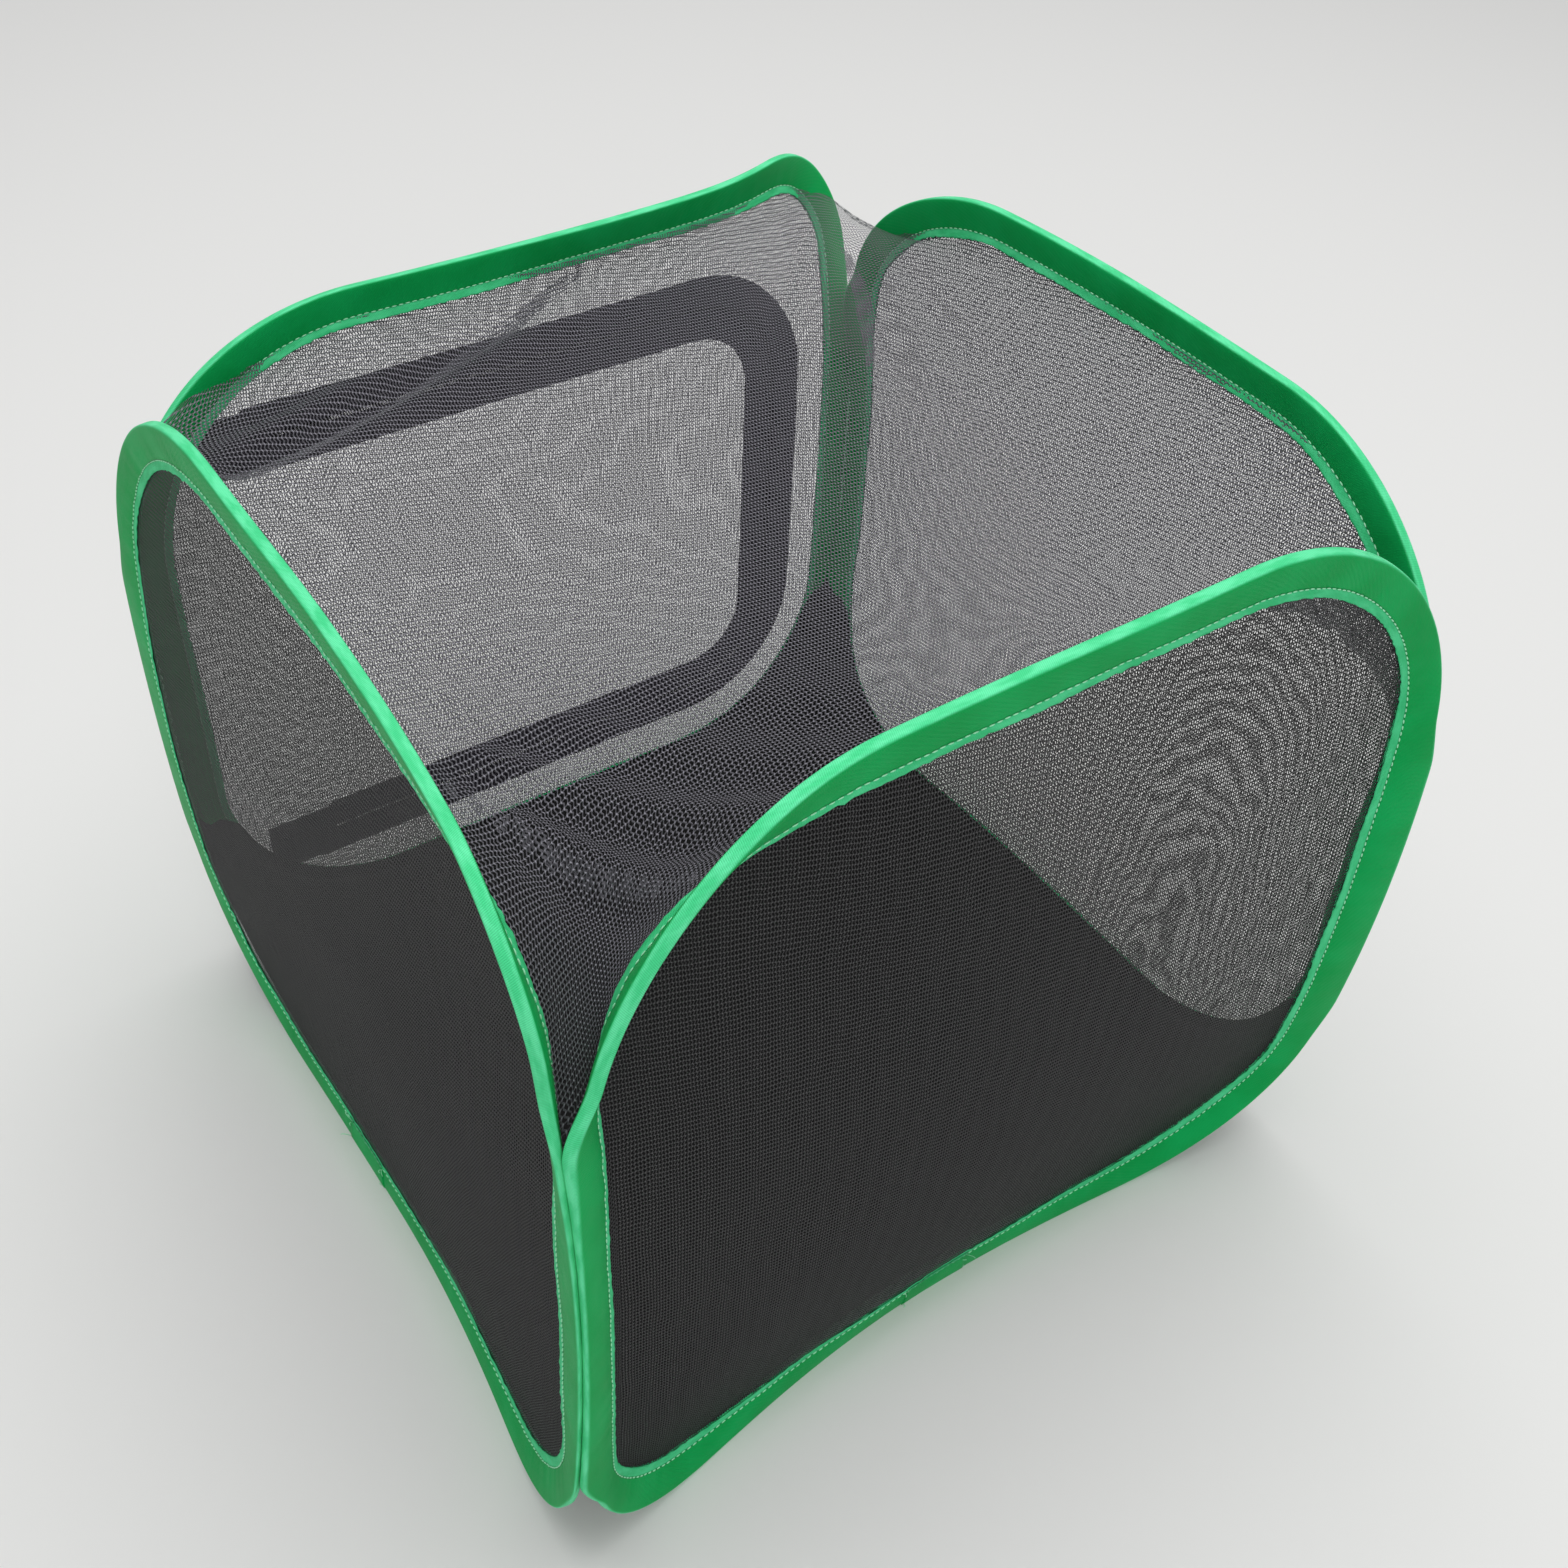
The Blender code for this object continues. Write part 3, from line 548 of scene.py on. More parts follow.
for name, hoop in hoops.items():
    stations = hoop.stations(sleeve_stations)
    places = sleeve_points(hoop, stations)
    mesh = loop_skin("sleeve_" + name, hoop, places, stations[4], section_v)
    put("satin_sleeve_" + name, mesh, satin, hoop.body, "sleeve_satin", "sleeve_" + name)
    ring, round_way = wire_rings(places)
    wire = loop_skin("spring_" + name, hoop, ring, stations[4], round_way)
    put("spring_hoop_" + name, wire, drawn_steel, hoop.body, "spring_steel", "hoop_" + name)
    "spring_hoop_" + name

# Sleeve stitching. One row of green lockstitch runs round both faces of each sleeve, above its hems: short
# thread floats, each pulled a little into the tape.
thread_pitch = 0.0032
thread_float = 0.0023
thread_thick = 0.00068


def sewing_thread(name, dark, light, sheen):
    """Spun thread, mottled and a little fuzzy."""
    finish = Finish(name, Roughness=0.5, Sheen_Weight=sheen)
    vector, _ = finish.where(3)
    fuzz = finish.noise(vector, 2500.0)
    finish.feed("Base Color", finish.mix(fuzz, dark, light))
    finish.bump(fuzz, 0.00008, 0.5)
    return finish


green_thread = sewing_thread("green_sewing_thread", (0.28, 0.84, 0.48, 1), (0.50, 0.95, 0.66, 1), 0.1)


def float_tree(name, finish, rounds=6, rings=4):
    """Nodes that lay a row of small rounded floats along a path."""
    tree = bpy.data.node_groups.new(name, "GeometryNodeTree")
    sockets = {}
    tree.interface.new_socket(name="Path", in_out="INPUT", socket_type="NodeSocketGeometry")
    for label in ("Pitch", "Float", "Wide", "Tall", "Lean"):
        sockets[label] = tree.interface.new_socket(name=label, in_out="INPUT", socket_type="NodeSocketFloat")
    tree.interface.new_socket(name="Row", in_out="OUTPUT", socket_type="NodeSocketGeometry")

    def node(kind, settings=None, **links):
        made = tree.nodes.new(kind)
        for key, value in (settings or {}).items():
            setattr(made, key, value)
        for key, value in links.items():
            key = key.replace("_", " ")
            if isinstance(value, bpy.types.NodeSocket):
                tree.links.new(value, made.inputs[key])
            else:
                made.inputs[key].default_value = value
        return made

    entry = node("NodeGroupInput").outputs
    curve = node("GeometryNodeMeshToCurve", Mesh=entry["Path"]).outputs[0]
    beads = node("GeometryNodeResampleCurve", {"mode": "LENGTH"}, Curve=curve,
                 Length=entry["Pitch"]).outputs[0]
    ball = node("GeometryNodeMeshUVSphere", Segments=rounds, Rings=rings, Radius=0.5).outputs[0]
    shape = node("ShaderNodeCombineXYZ", X=entry["Wide"], Y=entry["Tall"], Z=entry["Float"]).outputs[0]
    tangent = node("GeometryNodeInputTangent").outputs[0]
    normal = node("GeometryNodeInputNormal").outputs[0]
    first = node("FunctionNodeAlignRotationToVector", {"axis": "Z"}, Vector=tangent).outputs[0]
    second = node("FunctionNodeAlignRotationToVector", {"axis": "Y", "pivot_axis": "Z"},
                  Rotation=first, Vector=normal).outputs[0]
    lean = node("FunctionNodeEulerToRotation").inputs[0].node
    euler = node("ShaderNodeCombineXYZ", Y=entry["Lean"]).outputs[0]
    tree.links.new(euler, lean.inputs[0])
    turned = node("FunctionNodeRotateRotation", {"rotation_space": "LOCAL"}, Rotation=second,
                  Rotate_By=lean.outputs[0]).outputs[0]
    placed = node("GeometryNodeInstanceOnPoints", Points=beads, Instance=ball, Rotation=turned, Scale=shape)
    real = node("GeometryNodeRealizeInstances", Geometry=placed.outputs[0]).outputs[0]
    smooth = node("GeometryNodeSetShadeSmooth", Geometry=real).outputs[0]
    coloured = node("GeometryNodeSetMaterial", Geometry=smooth, Material=finish.material).outputs[0]
    leave = node("NodeGroupOutput")
    tree.links.new(coloured, leave.inputs[0])
    return tree, {label: socket.identifier for label, socket in sockets.items()}


def laid_floats(name, paths, closed, tree_and_sockets, sizes):
    """A plain mesh of floats along the paths, grown by the tree and then taken off it."""
    tree, sockets = tree_and_sockets
    points, edges = [], []
    for path in paths:
        first = len(points)
        points += [tuple(point) for point in path]
        edges += [(first + step, first + step + 1) for step in range(len(path) - 1)]
        if closed:
            edges.append((len(points) - 1, first))
    mesh = bpy.data.meshes.new(name + "_path")
    mesh.from_pydata(points, edges, [])
    carrier = in_scene(name + "_path", mesh)
    grow = carrier.modifiers.new("floats", "NODES")
    grow.node_group = tree
    for label, value in sizes.items():
        grow[sockets[label]] = value
    graph = bpy.context.evaluated_depsgraph_get()
    grown = bpy.data.meshes.new_from_object(carrier.evaluated_get(graph))
    bpy.data.objects.remove(carrier, do_unlink=True)
    return grown


green_row = float_tree("green_stitch_row", green_thread)
stitch_sizes = {"Pitch": thread_pitch, "Float": thread_float, "Wide": thread_thick,
                "Tall": thread_thick * 0.8, "Lean": 0.06}
for name, hoop in hoops.items():
    stations = hoop.stations(sleeve_stations)
    places = sleeve_points(hoop, stations, 0.00026)
    rows = [places[:, column] for column in (5, 2 * len(outer) - 6)]
    mesh = laid_floats("stitches_" + name, rows, True, green_row, stitch_sizes)
    put("stitches_" + name, mesh, green_thread, hoop.body, "sleeve_satin")

# Tape joins. Each sleeve's tape starts and ends in one lap, turned under and sewn over itself, with a few
# loose thread ends left by the cutter.
lap_stations = 16
lap_at = {"front": 0.152, "left": 0.186, "back": 0.130, "right": 0.118}
end_thread_thick = 0.00035


def thread_tube(name, routes, thick, sides=5):
    """Thin round threads along their routes, closed at both ends."""
    work = bmesh.new()
    for route in routes:
        route = [Vector(point) for point in route]
        rings = []
        for step, point in enumerate(route):
            heading = (route[min(step + 1, len(route) - 1)] - route[max(step - 1, 0)]).normalized()
            flat = heading.cross(Vector((0.3, 0.2, 1.0))).normalized()
            rise = heading.cross(flat)
            rings.append([work.verts.new(point + (flat * math.cos(turn) + rise * math.sin(turn)) * thick / 2)
                          for turn in (2 * math.pi * side / sides for side in range(sides))])
        for low, high in zip(rings, rings[1:]):
            for side in range(sides):
                after = (side + 1) % sides
                work.faces.new((low[side], low[after], high[after], high[side]))
        work.faces.new(rings[0])
        work.faces.new(rings[-1])
    return smooth_mesh(work, name)


for order, (name, hoop) in enumerate(hoops.items()):
    stations = hoop.stations(sleeve_stations)
    first = int(lap_at[name] * sleeve_stations)
    lap = [column[first:first + lap_stations] for column in stations]
    columns = slice(1, 2 * len(outer) - 1)
    over = sleeve_points(hoop, lap, 0.00045)[:, columns]
    under = sleeve_points(hoop, lap, -0.0001)[:, columns]
    first_fold, last_fold = [over[edge] * 0.4 + under[edge] * 0.6 for edge in (slice(0, 1), slice(-1, None))]
    places = np.concatenate([under[:1], first_fold, over, last_fold, under[-1:]])
    runs = np.concatenate([[lap[4][0]] * 2, lap[4], [lap[4][-1]] * 2])
    mesh = turned_out(skin_mesh("tape_join_" + name, places, chart(runs[:, None], section_v[columns])))
    join = put("tape_join_" + name, mesh, satin, hoop.body, "sleeve_satin")
    chance = random.Random(40 + order)
    routes = []
    for edge in (0, -1):
        for strand in range(3):
            start = Vector(over[edge, 4 + strand * 3])
            drift = Vector((chance.uniform(-1, 1), chance.uniform(-1, 1), chance.uniform(-0.4, 0.6))) * 0.004
            away = Vector(over[edge, 4]) - Vector(hoop.place(lap[0][edge], lap[1][edge], 0.006))
            routes.append([start + drift * share + away * 0.25 * math.sin(share * 2.2)
                           for share in (step / 5 for step in range(6))])
    put("thread_ends_" + name, thread_tube("thread_ends_" + name, routes, end_thread_thick), green_thread,
        hoop.body, "sleeve_satin")

# Net of the front, left and right sides. A fine black knitted net, pulled flat by its hoop and held between
# the two leaves of the sleeve; upright ribs of chain stitch are tied across by a thinner thread.
net_tuck = 0.0110
net_rings = (net_tuck, 0.0145, 0.0188)
net_steps = 75
rib_pitch = 0.00120
course_pitch = 0.00214
square_turns = 4


def square_share(s, t):
    """Share round the loop, 0 to 4, and how far out, of points of a square grid."""
    far = np.maximum(np.abs(s), np.abs(t))
    safe = np.where(far == 0, 1, far)
    s, t = s / safe, t / safe
    near = 1 - 1e-9
    share = np.where(t <= -near, (s + 1) / 2,
                     np.where(s >= near, 1 + (t + 1) / 2,
                              np.where(t >= near, 2 + (1 - s) / 2, (3 + (1 - t) / 2) % square_turns)))
    return share, far


def loop_at(line, share):
    """Places and normals of a loop at shares 0 to 4, where whole shares are the middles of its corners."""
    run = np.interp(share, range(square_turns + 1), corner_marks(line)) % line[-1, 4]
    return [np.interp(run, line[:, 4], line[:, column]) for column in range(5)]


def net_grid(hoop, line, rings, steps):
    """A round-cornered sheet on a wall, from rings at its edge and even steps inside them: u, v, outward
    depth and how far out each point is."""
    s, t = np.meshgrid(np.linspace(-1, 1, steps), np.linspace(-1, 1, steps), indexing="ij")
    share, _ = square_share(s, t)
    u, v, normal_u, normal_v, run = loop_at(line, share)
    rank = np.minimum.reduce([np.arange(steps)[:, None] + 0 * s, np.arange(steps)[::-1, None] + 0 * s,
                              np.arange(steps)[None, :] + 0 * s, np.arange(steps)[None, ::-1] + 0 * s])
    last = len(rings) - 1
    far = np.clip(1 - (rank - last) / ((steps - 1) / 2 - last), 0, 1)
    inset = np.choose(np.minimum(rank, last).astype(int), [ring + 0 * s for ring in rings])
    depth = 0 * s
    if last:
        inset, depth = hoop.turned(run, inset, depth)
    u, v = u + normal_u * inset, v + normal_v * inset
    middle_u = (line[:, 0].min() + line[:, 0].max()) / 2
    middle_v = (line[:, 1].min() + line[:, 1].max()) / 2
    return middle_u + (u - middle_u) * far, middle_v + (v - middle_v) * far, depth * far ** 2, far


def slack(u, v, seed, short=0.03, long=0.16, size=0.16):
    """A soft wandering of a stretched sheet, about 1 high, from waves that lie every way."""
    chance = random.Random(seed)
    total = 0
    for _ in range(14):
        wave = 2 * math.pi / chance.uniform(short, long)
        angle = chance.uniform(0, math.pi)
        shift = chance.uniform(0, 6.28)
        total = total + np.sin((u * math.cos(angle) + v * math.sin(angle)) * wave + shift) / wave
    return total * size / (long * math.sqrt(14) / 12)


def net_finish(name, thread_colour, knot_glint_colour, sheen, folded=False):
    """Black knitted net, from a UV map that counts ribs and courses; its knots are painted lighter, a painted
    glint.
    Where its sheet is folded over, the fold attribute shows a second layer."""
    finish = Finish(name, Roughness=0.55, Sheen_Weight=sheen, Sheen_Roughness=0.35,
                    Sheen_Tint=(0.92, 0.92, 1.0, 1.0), Specular_IOR_Level=0.3)
    vector, (ribs, courses, _) = finish.where(2)
    drift = finish.noise(vector, 0.045, 2.0)
    wave = (courses * (2 * math.pi)).sine()
    slip = finish.noise(vector, 0.31, 1.0)
    rib_place = ribs + wave * 0.17 + drift * 2.6 + slip * 0.55
    tie_place = courses + ribs * 0.12 + drift * 1.5 + slip * 0.45
    rib = abs(rib_place % 1 - 0.5)
    tie = abs(tie_place % 1 - 0.5)
    rib_half, tie_half = 0.180, 0.098
    rib_mask, tie_mask = rib < rib_half, tie < tie_half
    # Knot mask: where a painted glint lightens the thread.
    knot = (1 - rib.clear(0.05, 0.2)) * (1 - tie.clear(0.05, 0.25))
    cover = rib_mask.most(tie_mask)
    if folded:
        over = finish.node("ShaderNodeAttribute", {"attribute_name": "fold"}, out=2)
        second = (abs((rib_place * 0.93 + courses * 0.21 + 0.5) % 1 - 0.5) < 0.205).most(
            abs((tie_place * 1.04 - ribs * 0.17 + 0.4) % 1 - 0.5) < 0.125)
        cover = cover.most(second * (over > 0.5))
    finish.feed("Alpha", cover)
    # Painted glint: the knots take the lighter colour.
    finish.feed("Base Color", finish.mix(knot, thread_colour, knot_glint_colour))
    height = (1 - (rib / rib_half) ** 2).most(1 - (tie / tie_half) ** 2)
    finish.bump(height, 0.0002, 0.8)
    return finish


net_thick = 0.00014


def knitted(mesh):
    """The net given the thickness of its threads, so that it closes up where it is seen from the side. Its
    faces are put in order, since the step that thickens it leaves those of the rim in any order."""
    work = bmesh.new()
    work.from_mesh(mesh)
    bmesh.ops.solidify(work, geom=work.faces[:], thickness=net_thick)
    bmesh.ops.recalc_face_normals(work, faces=work.faces)
    work.verts.index_update()
    total = len(work.verts)
    spots = {face: [vertex.index for vertex in face.verts] for face in work.faces}
    work.faces.sort(key=lambda face: min(spots[face]) * total + max(spots[face]))
    work.to_mesh(mesh)
    work.free()
    return mesh


# The knot colour is a painted glint on the black net.
wall_net = net_finish("black_wall_net", (0.019, 0.019, 0.020, 1), (0.105, 0.104, 0.108, 1), 0.02)
for order, name in enumerate(("front", "left", "right")):
    hoop = hoops[name]
    u, v, depth, far = net_grid(hoop, hoop.line, net_rings, net_steps)
    places = hoop.place(u, v, slack(u, v, 60 + order) * 0.0011 * np.clip((1 - far) * 5, 0, 1) - depth)
    mesh = knitted(skin_mesh("net_" + name, places, chart(u / rib_pitch, v / course_pitch)))
    net = put("wall_net_" + name, mesh, wall_net, hoop.body, "wall_net", "mesh_" + name)
    hoop.height - 2 * net_tuck

# Back net and door flap. The back net is cut out for the door on three sides; the uncut left edge is the
# door's cloth hinge, and the flap is a sheet of the same net.
hinge_u = -(half_wall - 0.066)
door_right = half_wall - 0.049
door_low = 0.056
door_high = hoops["back"].height - 0.064
door_round = 0.050
door_lap = 0.008
hinge_reach = 0.0055
cut_round = door_lap / 4
back = hoops["back"]
flap_left = hinge_u - hinge_reach
cut_line = back.walk((flap_left, door_right + door_lap, door_low - door_lap, door_high + door_lap),
                     (cut_round, door_round + door_lap, door_round + door_lap, cut_round))
flap_line = back.walk((flap_left, door_right - door_lap, door_low + door_lap, door_high - door_lap),
                      (cut_round, door_round - door_lap, door_round - door_lap, cut_round))
ring_steps = 24
around = np.linspace(0, square_turns, 320, endpoint=False)
edge_u, edge_v, normal_u, normal_v, run = [column[:, None] for column in loop_at(back.line, around)]
cut_u, cut_v = [column[:, None] for column in loop_at(cut_line, around)[:2]]
inset, depth = back.turned(run, np.array(net_rings)[None, :], 0)
mixes = np.linspace(0, 1, ring_steps)[None, 1:]
hem_u, hem_v = edge_u + normal_u * inset, edge_v + normal_v * inset
u = np.concatenate([hem_u, hem_u[:, -1:] + (cut_u - hem_u[:, -1:]) * mixes], axis=1)
v = np.concatenate([hem_v, hem_v[:, -1:] + (cut_v - hem_v[:, -1:]) * mixes], axis=1)
depth = np.concatenate([depth, depth[:, -1:] * (1 - mixes) ** 2], axis=1)
free = np.clip(mixes * 6, 0, 1) * np.clip((1 - mixes) * 6, 0, 1)
free = np.concatenate([0 * hem_u, free + 0 * cut_u], axis=1)
places = back.place(u, v, slack(u, v, 66) * 0.0009 * free - depth)
uv = chart(u / rib_pitch, v / course_pitch)
mesh = skin_mesh("net_back", np.concatenate([places, places[:1]]), np.concatenate([uv, uv[:1]]))
back_net = put("wall_net_back", turned_out(mesh, merge_reach), wall_net, back.body, "wall_net", "mesh_back")
back.height - 2 * net_tuck

u, v, _, far = net_grid(back, flap_line, (0.0,), net_steps)
places = back.place(u, v, slack(u, v, 67) * 0.0008 * np.clip((1 - far) * 5, 0, 1))
uv = chart(u / rib_pitch, v / course_pitch)
flap = put("door_net", skin_mesh("door_net", places, uv), wall_net, None, "wall_net", "door_mesh")
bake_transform(flap)
door_high - door_low - 2 * door_lap

# Zip tapes. Two woven black tapes edge the opening and the flap, each turned over the net and sewn down by
# two rows of black thread; they show from inside the cage as a broad dark ring.
tape_wide = 0.0148
tape_thick = 0.0006
tape_depth = 0.0010
coil_deep = 0.0019
coil_wide = 0.0024
coil_gap = 0.0004
zip_end = 0.006
coil_offset = coil_gap / 2 + coil_wide / 2
tape_start = coil_gap / 2 + coil_wide * 0.55


def zip_route(start_u, offset, steps=240):
    """Even points (u, v), normals and lengths along the zip from its lower end to its upper end."""
    reach = door_round + offset
    turn_u, low, high = door_right - door_round, door_low + door_round, door_high - door_round
    rows = [(start_u, door_low - offset, 0, -1)]
    for turn_v, start in ((low, 270), (high, 0)):
        for step in range(25):
            angle = math.radians(start + 90 * step / 24)
            out_u, out_v = math.cos(angle), math.sin(angle)
            rows.append((turn_u + reach * out_u, turn_v + reach * out_v, out_u, out_v))
    rows.append((start_u, door_high + offset, 0, 1))
    rows = np.array(rows)
    runs = run_lengths(rows)
    even = np.linspace(0, runs[-1], steps)
    return [np.interp(even, runs, rows[:, column]) for column in range(4)] + [even]


zip_cloth = Finish("black_zip_tape", Roughness=0.72, Sheen_Weight=0.10, Sheen_Roughness=0.5,
                   Sheen_Tint=(0.86, 0.80, 1.0, 1.0))
vector, (along, across, _) = zip_cloth.where(2)
herring = abs((across * (1 / 0.0032)) % 1 - 0.5) * 2
twill = ((along * (2 * math.pi / 0.0011)) + herring * (2 * math.pi)).sine()
faded = zip_cloth.noise(vector, 90.0, 3.0)
zip_cloth.feed("Base Color", zip_cloth.mix(faded, (0.018, 0.015, 0.023, 1), (0.036, 0.031, 0.047, 1)))
zip_cloth.feed("Roughness", 0.62 + faded * 0.25)
zip_cloth.bump(twill * 0.5 + faded, 0.00018, 0.8)

black_thread = sewing_thread("black_sewing_thread", (0.02, 0.02, 0.022, 1), (0.075, 0.075, 0.082, 1), 0.3)
black_row = float_tree("black_stitch_row", black_thread)
zip_stitch = {"Pitch": 0.0029, "Float": 0.0021, "Wide": 0.00042, "Tall": 0.00034, "Lean": 0.05}
tape_profile = ((0.0, 0.2), (0.0006, 1.3), (0.0016, 0.5), (0.004, 0.0), (0.0075, 0.12), (0.0112, 0.0),
                (0.0136, 0.25), (0.0146, 0.5), (0.0148, 0.1))
flap_zip_start = hinge_u + 0.0052
zip_halves = (("frame", 1, hinge_u - zip_end, "back_panel"), ("door", -1, flap_zip_start, "door"))
for order, (name, side, start_u, body) in enumerate(zip_halves):
    u, v, normal_u, normal_v, run = [column[:, None] for column in zip_route(start_u, side * tape_start)]
    offset = np.array([step for step, _ in tape_profile])[None, :]
    lift = np.array([rise for _, rise in tape_profile])[None, :] * 0.0005
    length = float(run[-1, 0])
    wavy = ripple(run, length, 0.012, 0.05, 71 + order) * 0.00012 * offset / tape_wide
    edge_u, edge_v = u + side * normal_u * offset, v + side * normal_v * offset
    top = back.place(edge_u, edge_v, -(tape_depth + tape_thick / 2 + lift + wavy))
    bottom = back.place(edge_u, edge_v, -(tape_depth - tape_thick / 2))
    cross = np.concatenate([offset[0], tape_wide * 2 - offset[0][::-1], [tape_wide * 2]])
    mesh = capped(flat_tube(name + "_tape", top, bottom, run, cross))
    binding = put(name + "_zip_binding", mesh, zip_cloth, body, "zip_tape", name + "_zip_tape")
    inside, under = [back.place(edge_u, edge_v, reach) for reach in (0.00045 + lift * 0.3, 0.00025)]
    mesh = flat_tube(name + "_facing", inside, under, run, cross)
    facing = put(name + "_zip_facing", mesh, zip_cloth, body, "zip_tape")
    paths = []
    for column in (3, 6):
        for depth in (-(tape_depth + tape_thick / 2 + 0.00012), 0.00055):
            paths.append(back.place(edge_u[:, column], edge_v[:, column], depth))
    mesh = laid_floats(name + "_zip_stitches", paths, False, black_row, zip_stitch)
    put(name + "_zip_stitches", mesh, black_thread, body, "zip_tape")

# Zip tails. Past each stop the two tapes run on together over the hinge edge and are sewn flat to the net
# with a boxed row of stitches.
tail_long = 0.030
tail_half = 0.0152
seam_in = 0.002
for label, level in (("lower", door_low), ("upper", door_high)):
    first = hinge_u - zip_end - 0.0005
    span_u = np.linspace(hinge_u + 0.0054, first - tail_long + zip_end, 32)[:, None]
    rows = np.array([(-1, 0), (-0.97, 0.00025), (-0.6, 0.00012), (-0.15, 0.0002), (0, 0.0), (0.15, 0.0002),
                     (0.6, 0.00012), (0.97, 0.00025), (1, 0)])
    edge_v = level + rows[None, :, 0] * tail_half
    puff = rows[None, :, 1] + 0.0001 * np.sin(span_u * 900)
    outside = back.place(span_u, edge_v, -(0.00035 + puff))
    inside = back.place(span_u, edge_v, 0.00045 + puff)
    cross = np.concatenate([edge_v[0], edge_v[0] + tail_half * 2, edge_v[0, :1] + tail_half * 4])
    mesh = capped(flat_tube("zip_tail_" + label, outside, inside, span_u, cross))
    tail = put("zip_tail_" + label, mesh, zip_cloth, None, "zip_tape")
    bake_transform(tail)
    far_u, near_u = first - tail_long + zip_end + seam_in, hinge_u - 0.0022
    low_v, high_v = level - tail_half + seam_in, level + tail_half - seam_in
    box = [(far_u, low_v), (near_u, low_v), (near_u, high_v), (far_u, high_v), (far_u, low_v)]
    share = np.linspace(0, 1, 12)
    paths = [back.place(u0 + (u1 - u0) * share, v0 + (v1 - v0) * share, depth)
             for depth in (-0.00072, 0.00082) for (u0, v0), (u1, v1) in zip(box, box[1:])]
    mesh = laid_floats("zip_tail_stitches_" + label, paths, False, black_row, zip_stitch)
    put("zip_tail_stitches_" + label, mesh, black_thread, "back_panel", "zip_tape")

# Zip coil and stops. Each tape carries a spiral of black nylon whose turns mesh with the other's at the
# middle; a pinched metal stop closes the row past each end.
coil_pitch = 0.0013
nylon = Finish("black_nylon_coil", Roughness=0.34, Specular_IOR_Level=0.55)
vector, _ = nylon.where(3)
wear = nylon.noise(vector, 700.0, 2.0)
nylon.feed("Base Color", nylon.mix(wear, (0.016, 0.015, 0.018, 1), (0.045, 0.042, 0.05, 1)))
nylon.feed("Roughness", 0.28 + wear * 0.2)
coil_row = float_tree("zip_coil_row", nylon, rounds=8, rings=5)
coil_turn = {"Pitch": coil_pitch, "Float": coil_pitch * 0.86, "Wide": 0.0030, "Tall": 0.0022, "Lean": 0.22}
for name, side, start_u, body in zip_halves:
    u, v, normal_u, normal_v, run = zip_route(start_u, side * (coil_offset - 0.00035), 700)
    path = back.place(u, v, -coil_deep)
    mesh = laid_floats(name + "_coil", [path], False, coil_row, coil_turn)
    put(name + "_zip_coil_turns", mesh, nylon, body, "zip_nylon", name + "_zip_coil")

enamel = Finish("black_enamel", Metallic=0.55, Roughness=0.38)
vector, _ = enamel.where(3)
chips = enamel.noise(vector, 500.0, 4.0)
enamel.feed("Base Color", enamel.mix(chips.clear(0.62, 0.72), (0.012, 0.012, 0.014, 1),
                                     (0.22, 0.21, 0.20, 1)))
enamel.feed("Roughness", 0.30 + chips * 0.25)
enamel.bump(chips, 0.00006, 0.5)


def rounded_block(name, low, high, round_off, segments=3):
    """A small block between two corners, with its edges rounded."""
    work = bmesh.new()
    bmesh.ops.create_cube(work, size=1.0)
    low, high = Vector(low), Vector(high)
    centre, size = (low + high) / 2, high - low
    for vertex in work.verts:
        vertex.co = Vector(centre[axis] + vertex.co[axis] * size[axis] for axis in range(3))
    bmesh.ops.bevel(work, geom=list(work.edges), offset=round_off, segments=segments, profile=0.5,
                    affect="EDGES")
    return smooth_mesh(work, name)


for node in ("zip_bottom_stop", "zip_top_stop"):
    low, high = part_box(node)
    put(node + "_clip", rounded_block(node, low, high, 0.0007), enamel, "back_panel", "zip_metal", node)

# Slider and pull. A cast slider straddles the coils: a shield plate and a bridge;
# its long flat pull hangs from the bridge by an eye.
low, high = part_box("zip_slider")
middle = (low + high) / 2
plate_top = low.y + 0.0012
half_long, half_wide = (high.x - low.x) / 2, (high.z - low.z) / 2
work = bmesh.new()
shield_steps = 40
shield = []
for step in range(shield_steps):
    angle = 2 * math.pi * step / shield_steps
    reach = (abs(math.cos(angle)) ** 3 + abs(math.sin(angle)) ** 3) ** (-1 / 3)
    waist = 1 - 0.16 * max(0.0, -math.cos(angle))
    shield.append((middle.x + half_long * reach * math.cos(angle),
                   middle.z + half_wide * waist * reach * math.sin(angle)))
base = [work.verts.new((x, low.y, z)) for x, z in shield]
crown = [work.verts.new((x, plate_top, z)) for x, z in shield]
work.faces.new(base)
work.faces.new(crown)
for step in range(shield_steps):
    after = (step + 1) % shield_steps
    work.faces.new((base[step], base[after], crown[after], crown[step]))
bmesh.ops.recalc_face_normals(work, faces=work.faces)
rims = [edge for edge in work.edges if len({round(vertex.co.y, 6) for vertex in edge.verts}) == 1]
bmesh.ops.bevel(work, geom=rims, offset=0.00035, segments=3, profile=0.5, affect="EDGES")
plate = bpy.data.meshes.new("slider_plate")
work.to_mesh(plate)
work.free()
bridge_reach, bridge_thick, bridge_half = 0.0040, 0.0006, 0.0016
bridge_rise = high.y - plate_top - 0.0004
bridge_path = []
for step in range(25):
    angle = math.pi * step / 24
    bridge_path.append((middle.x - bridge_reach * math.cos(angle),
                        plate_top - 0.0003 + bridge_rise * math.sin(angle) ** 0.55))
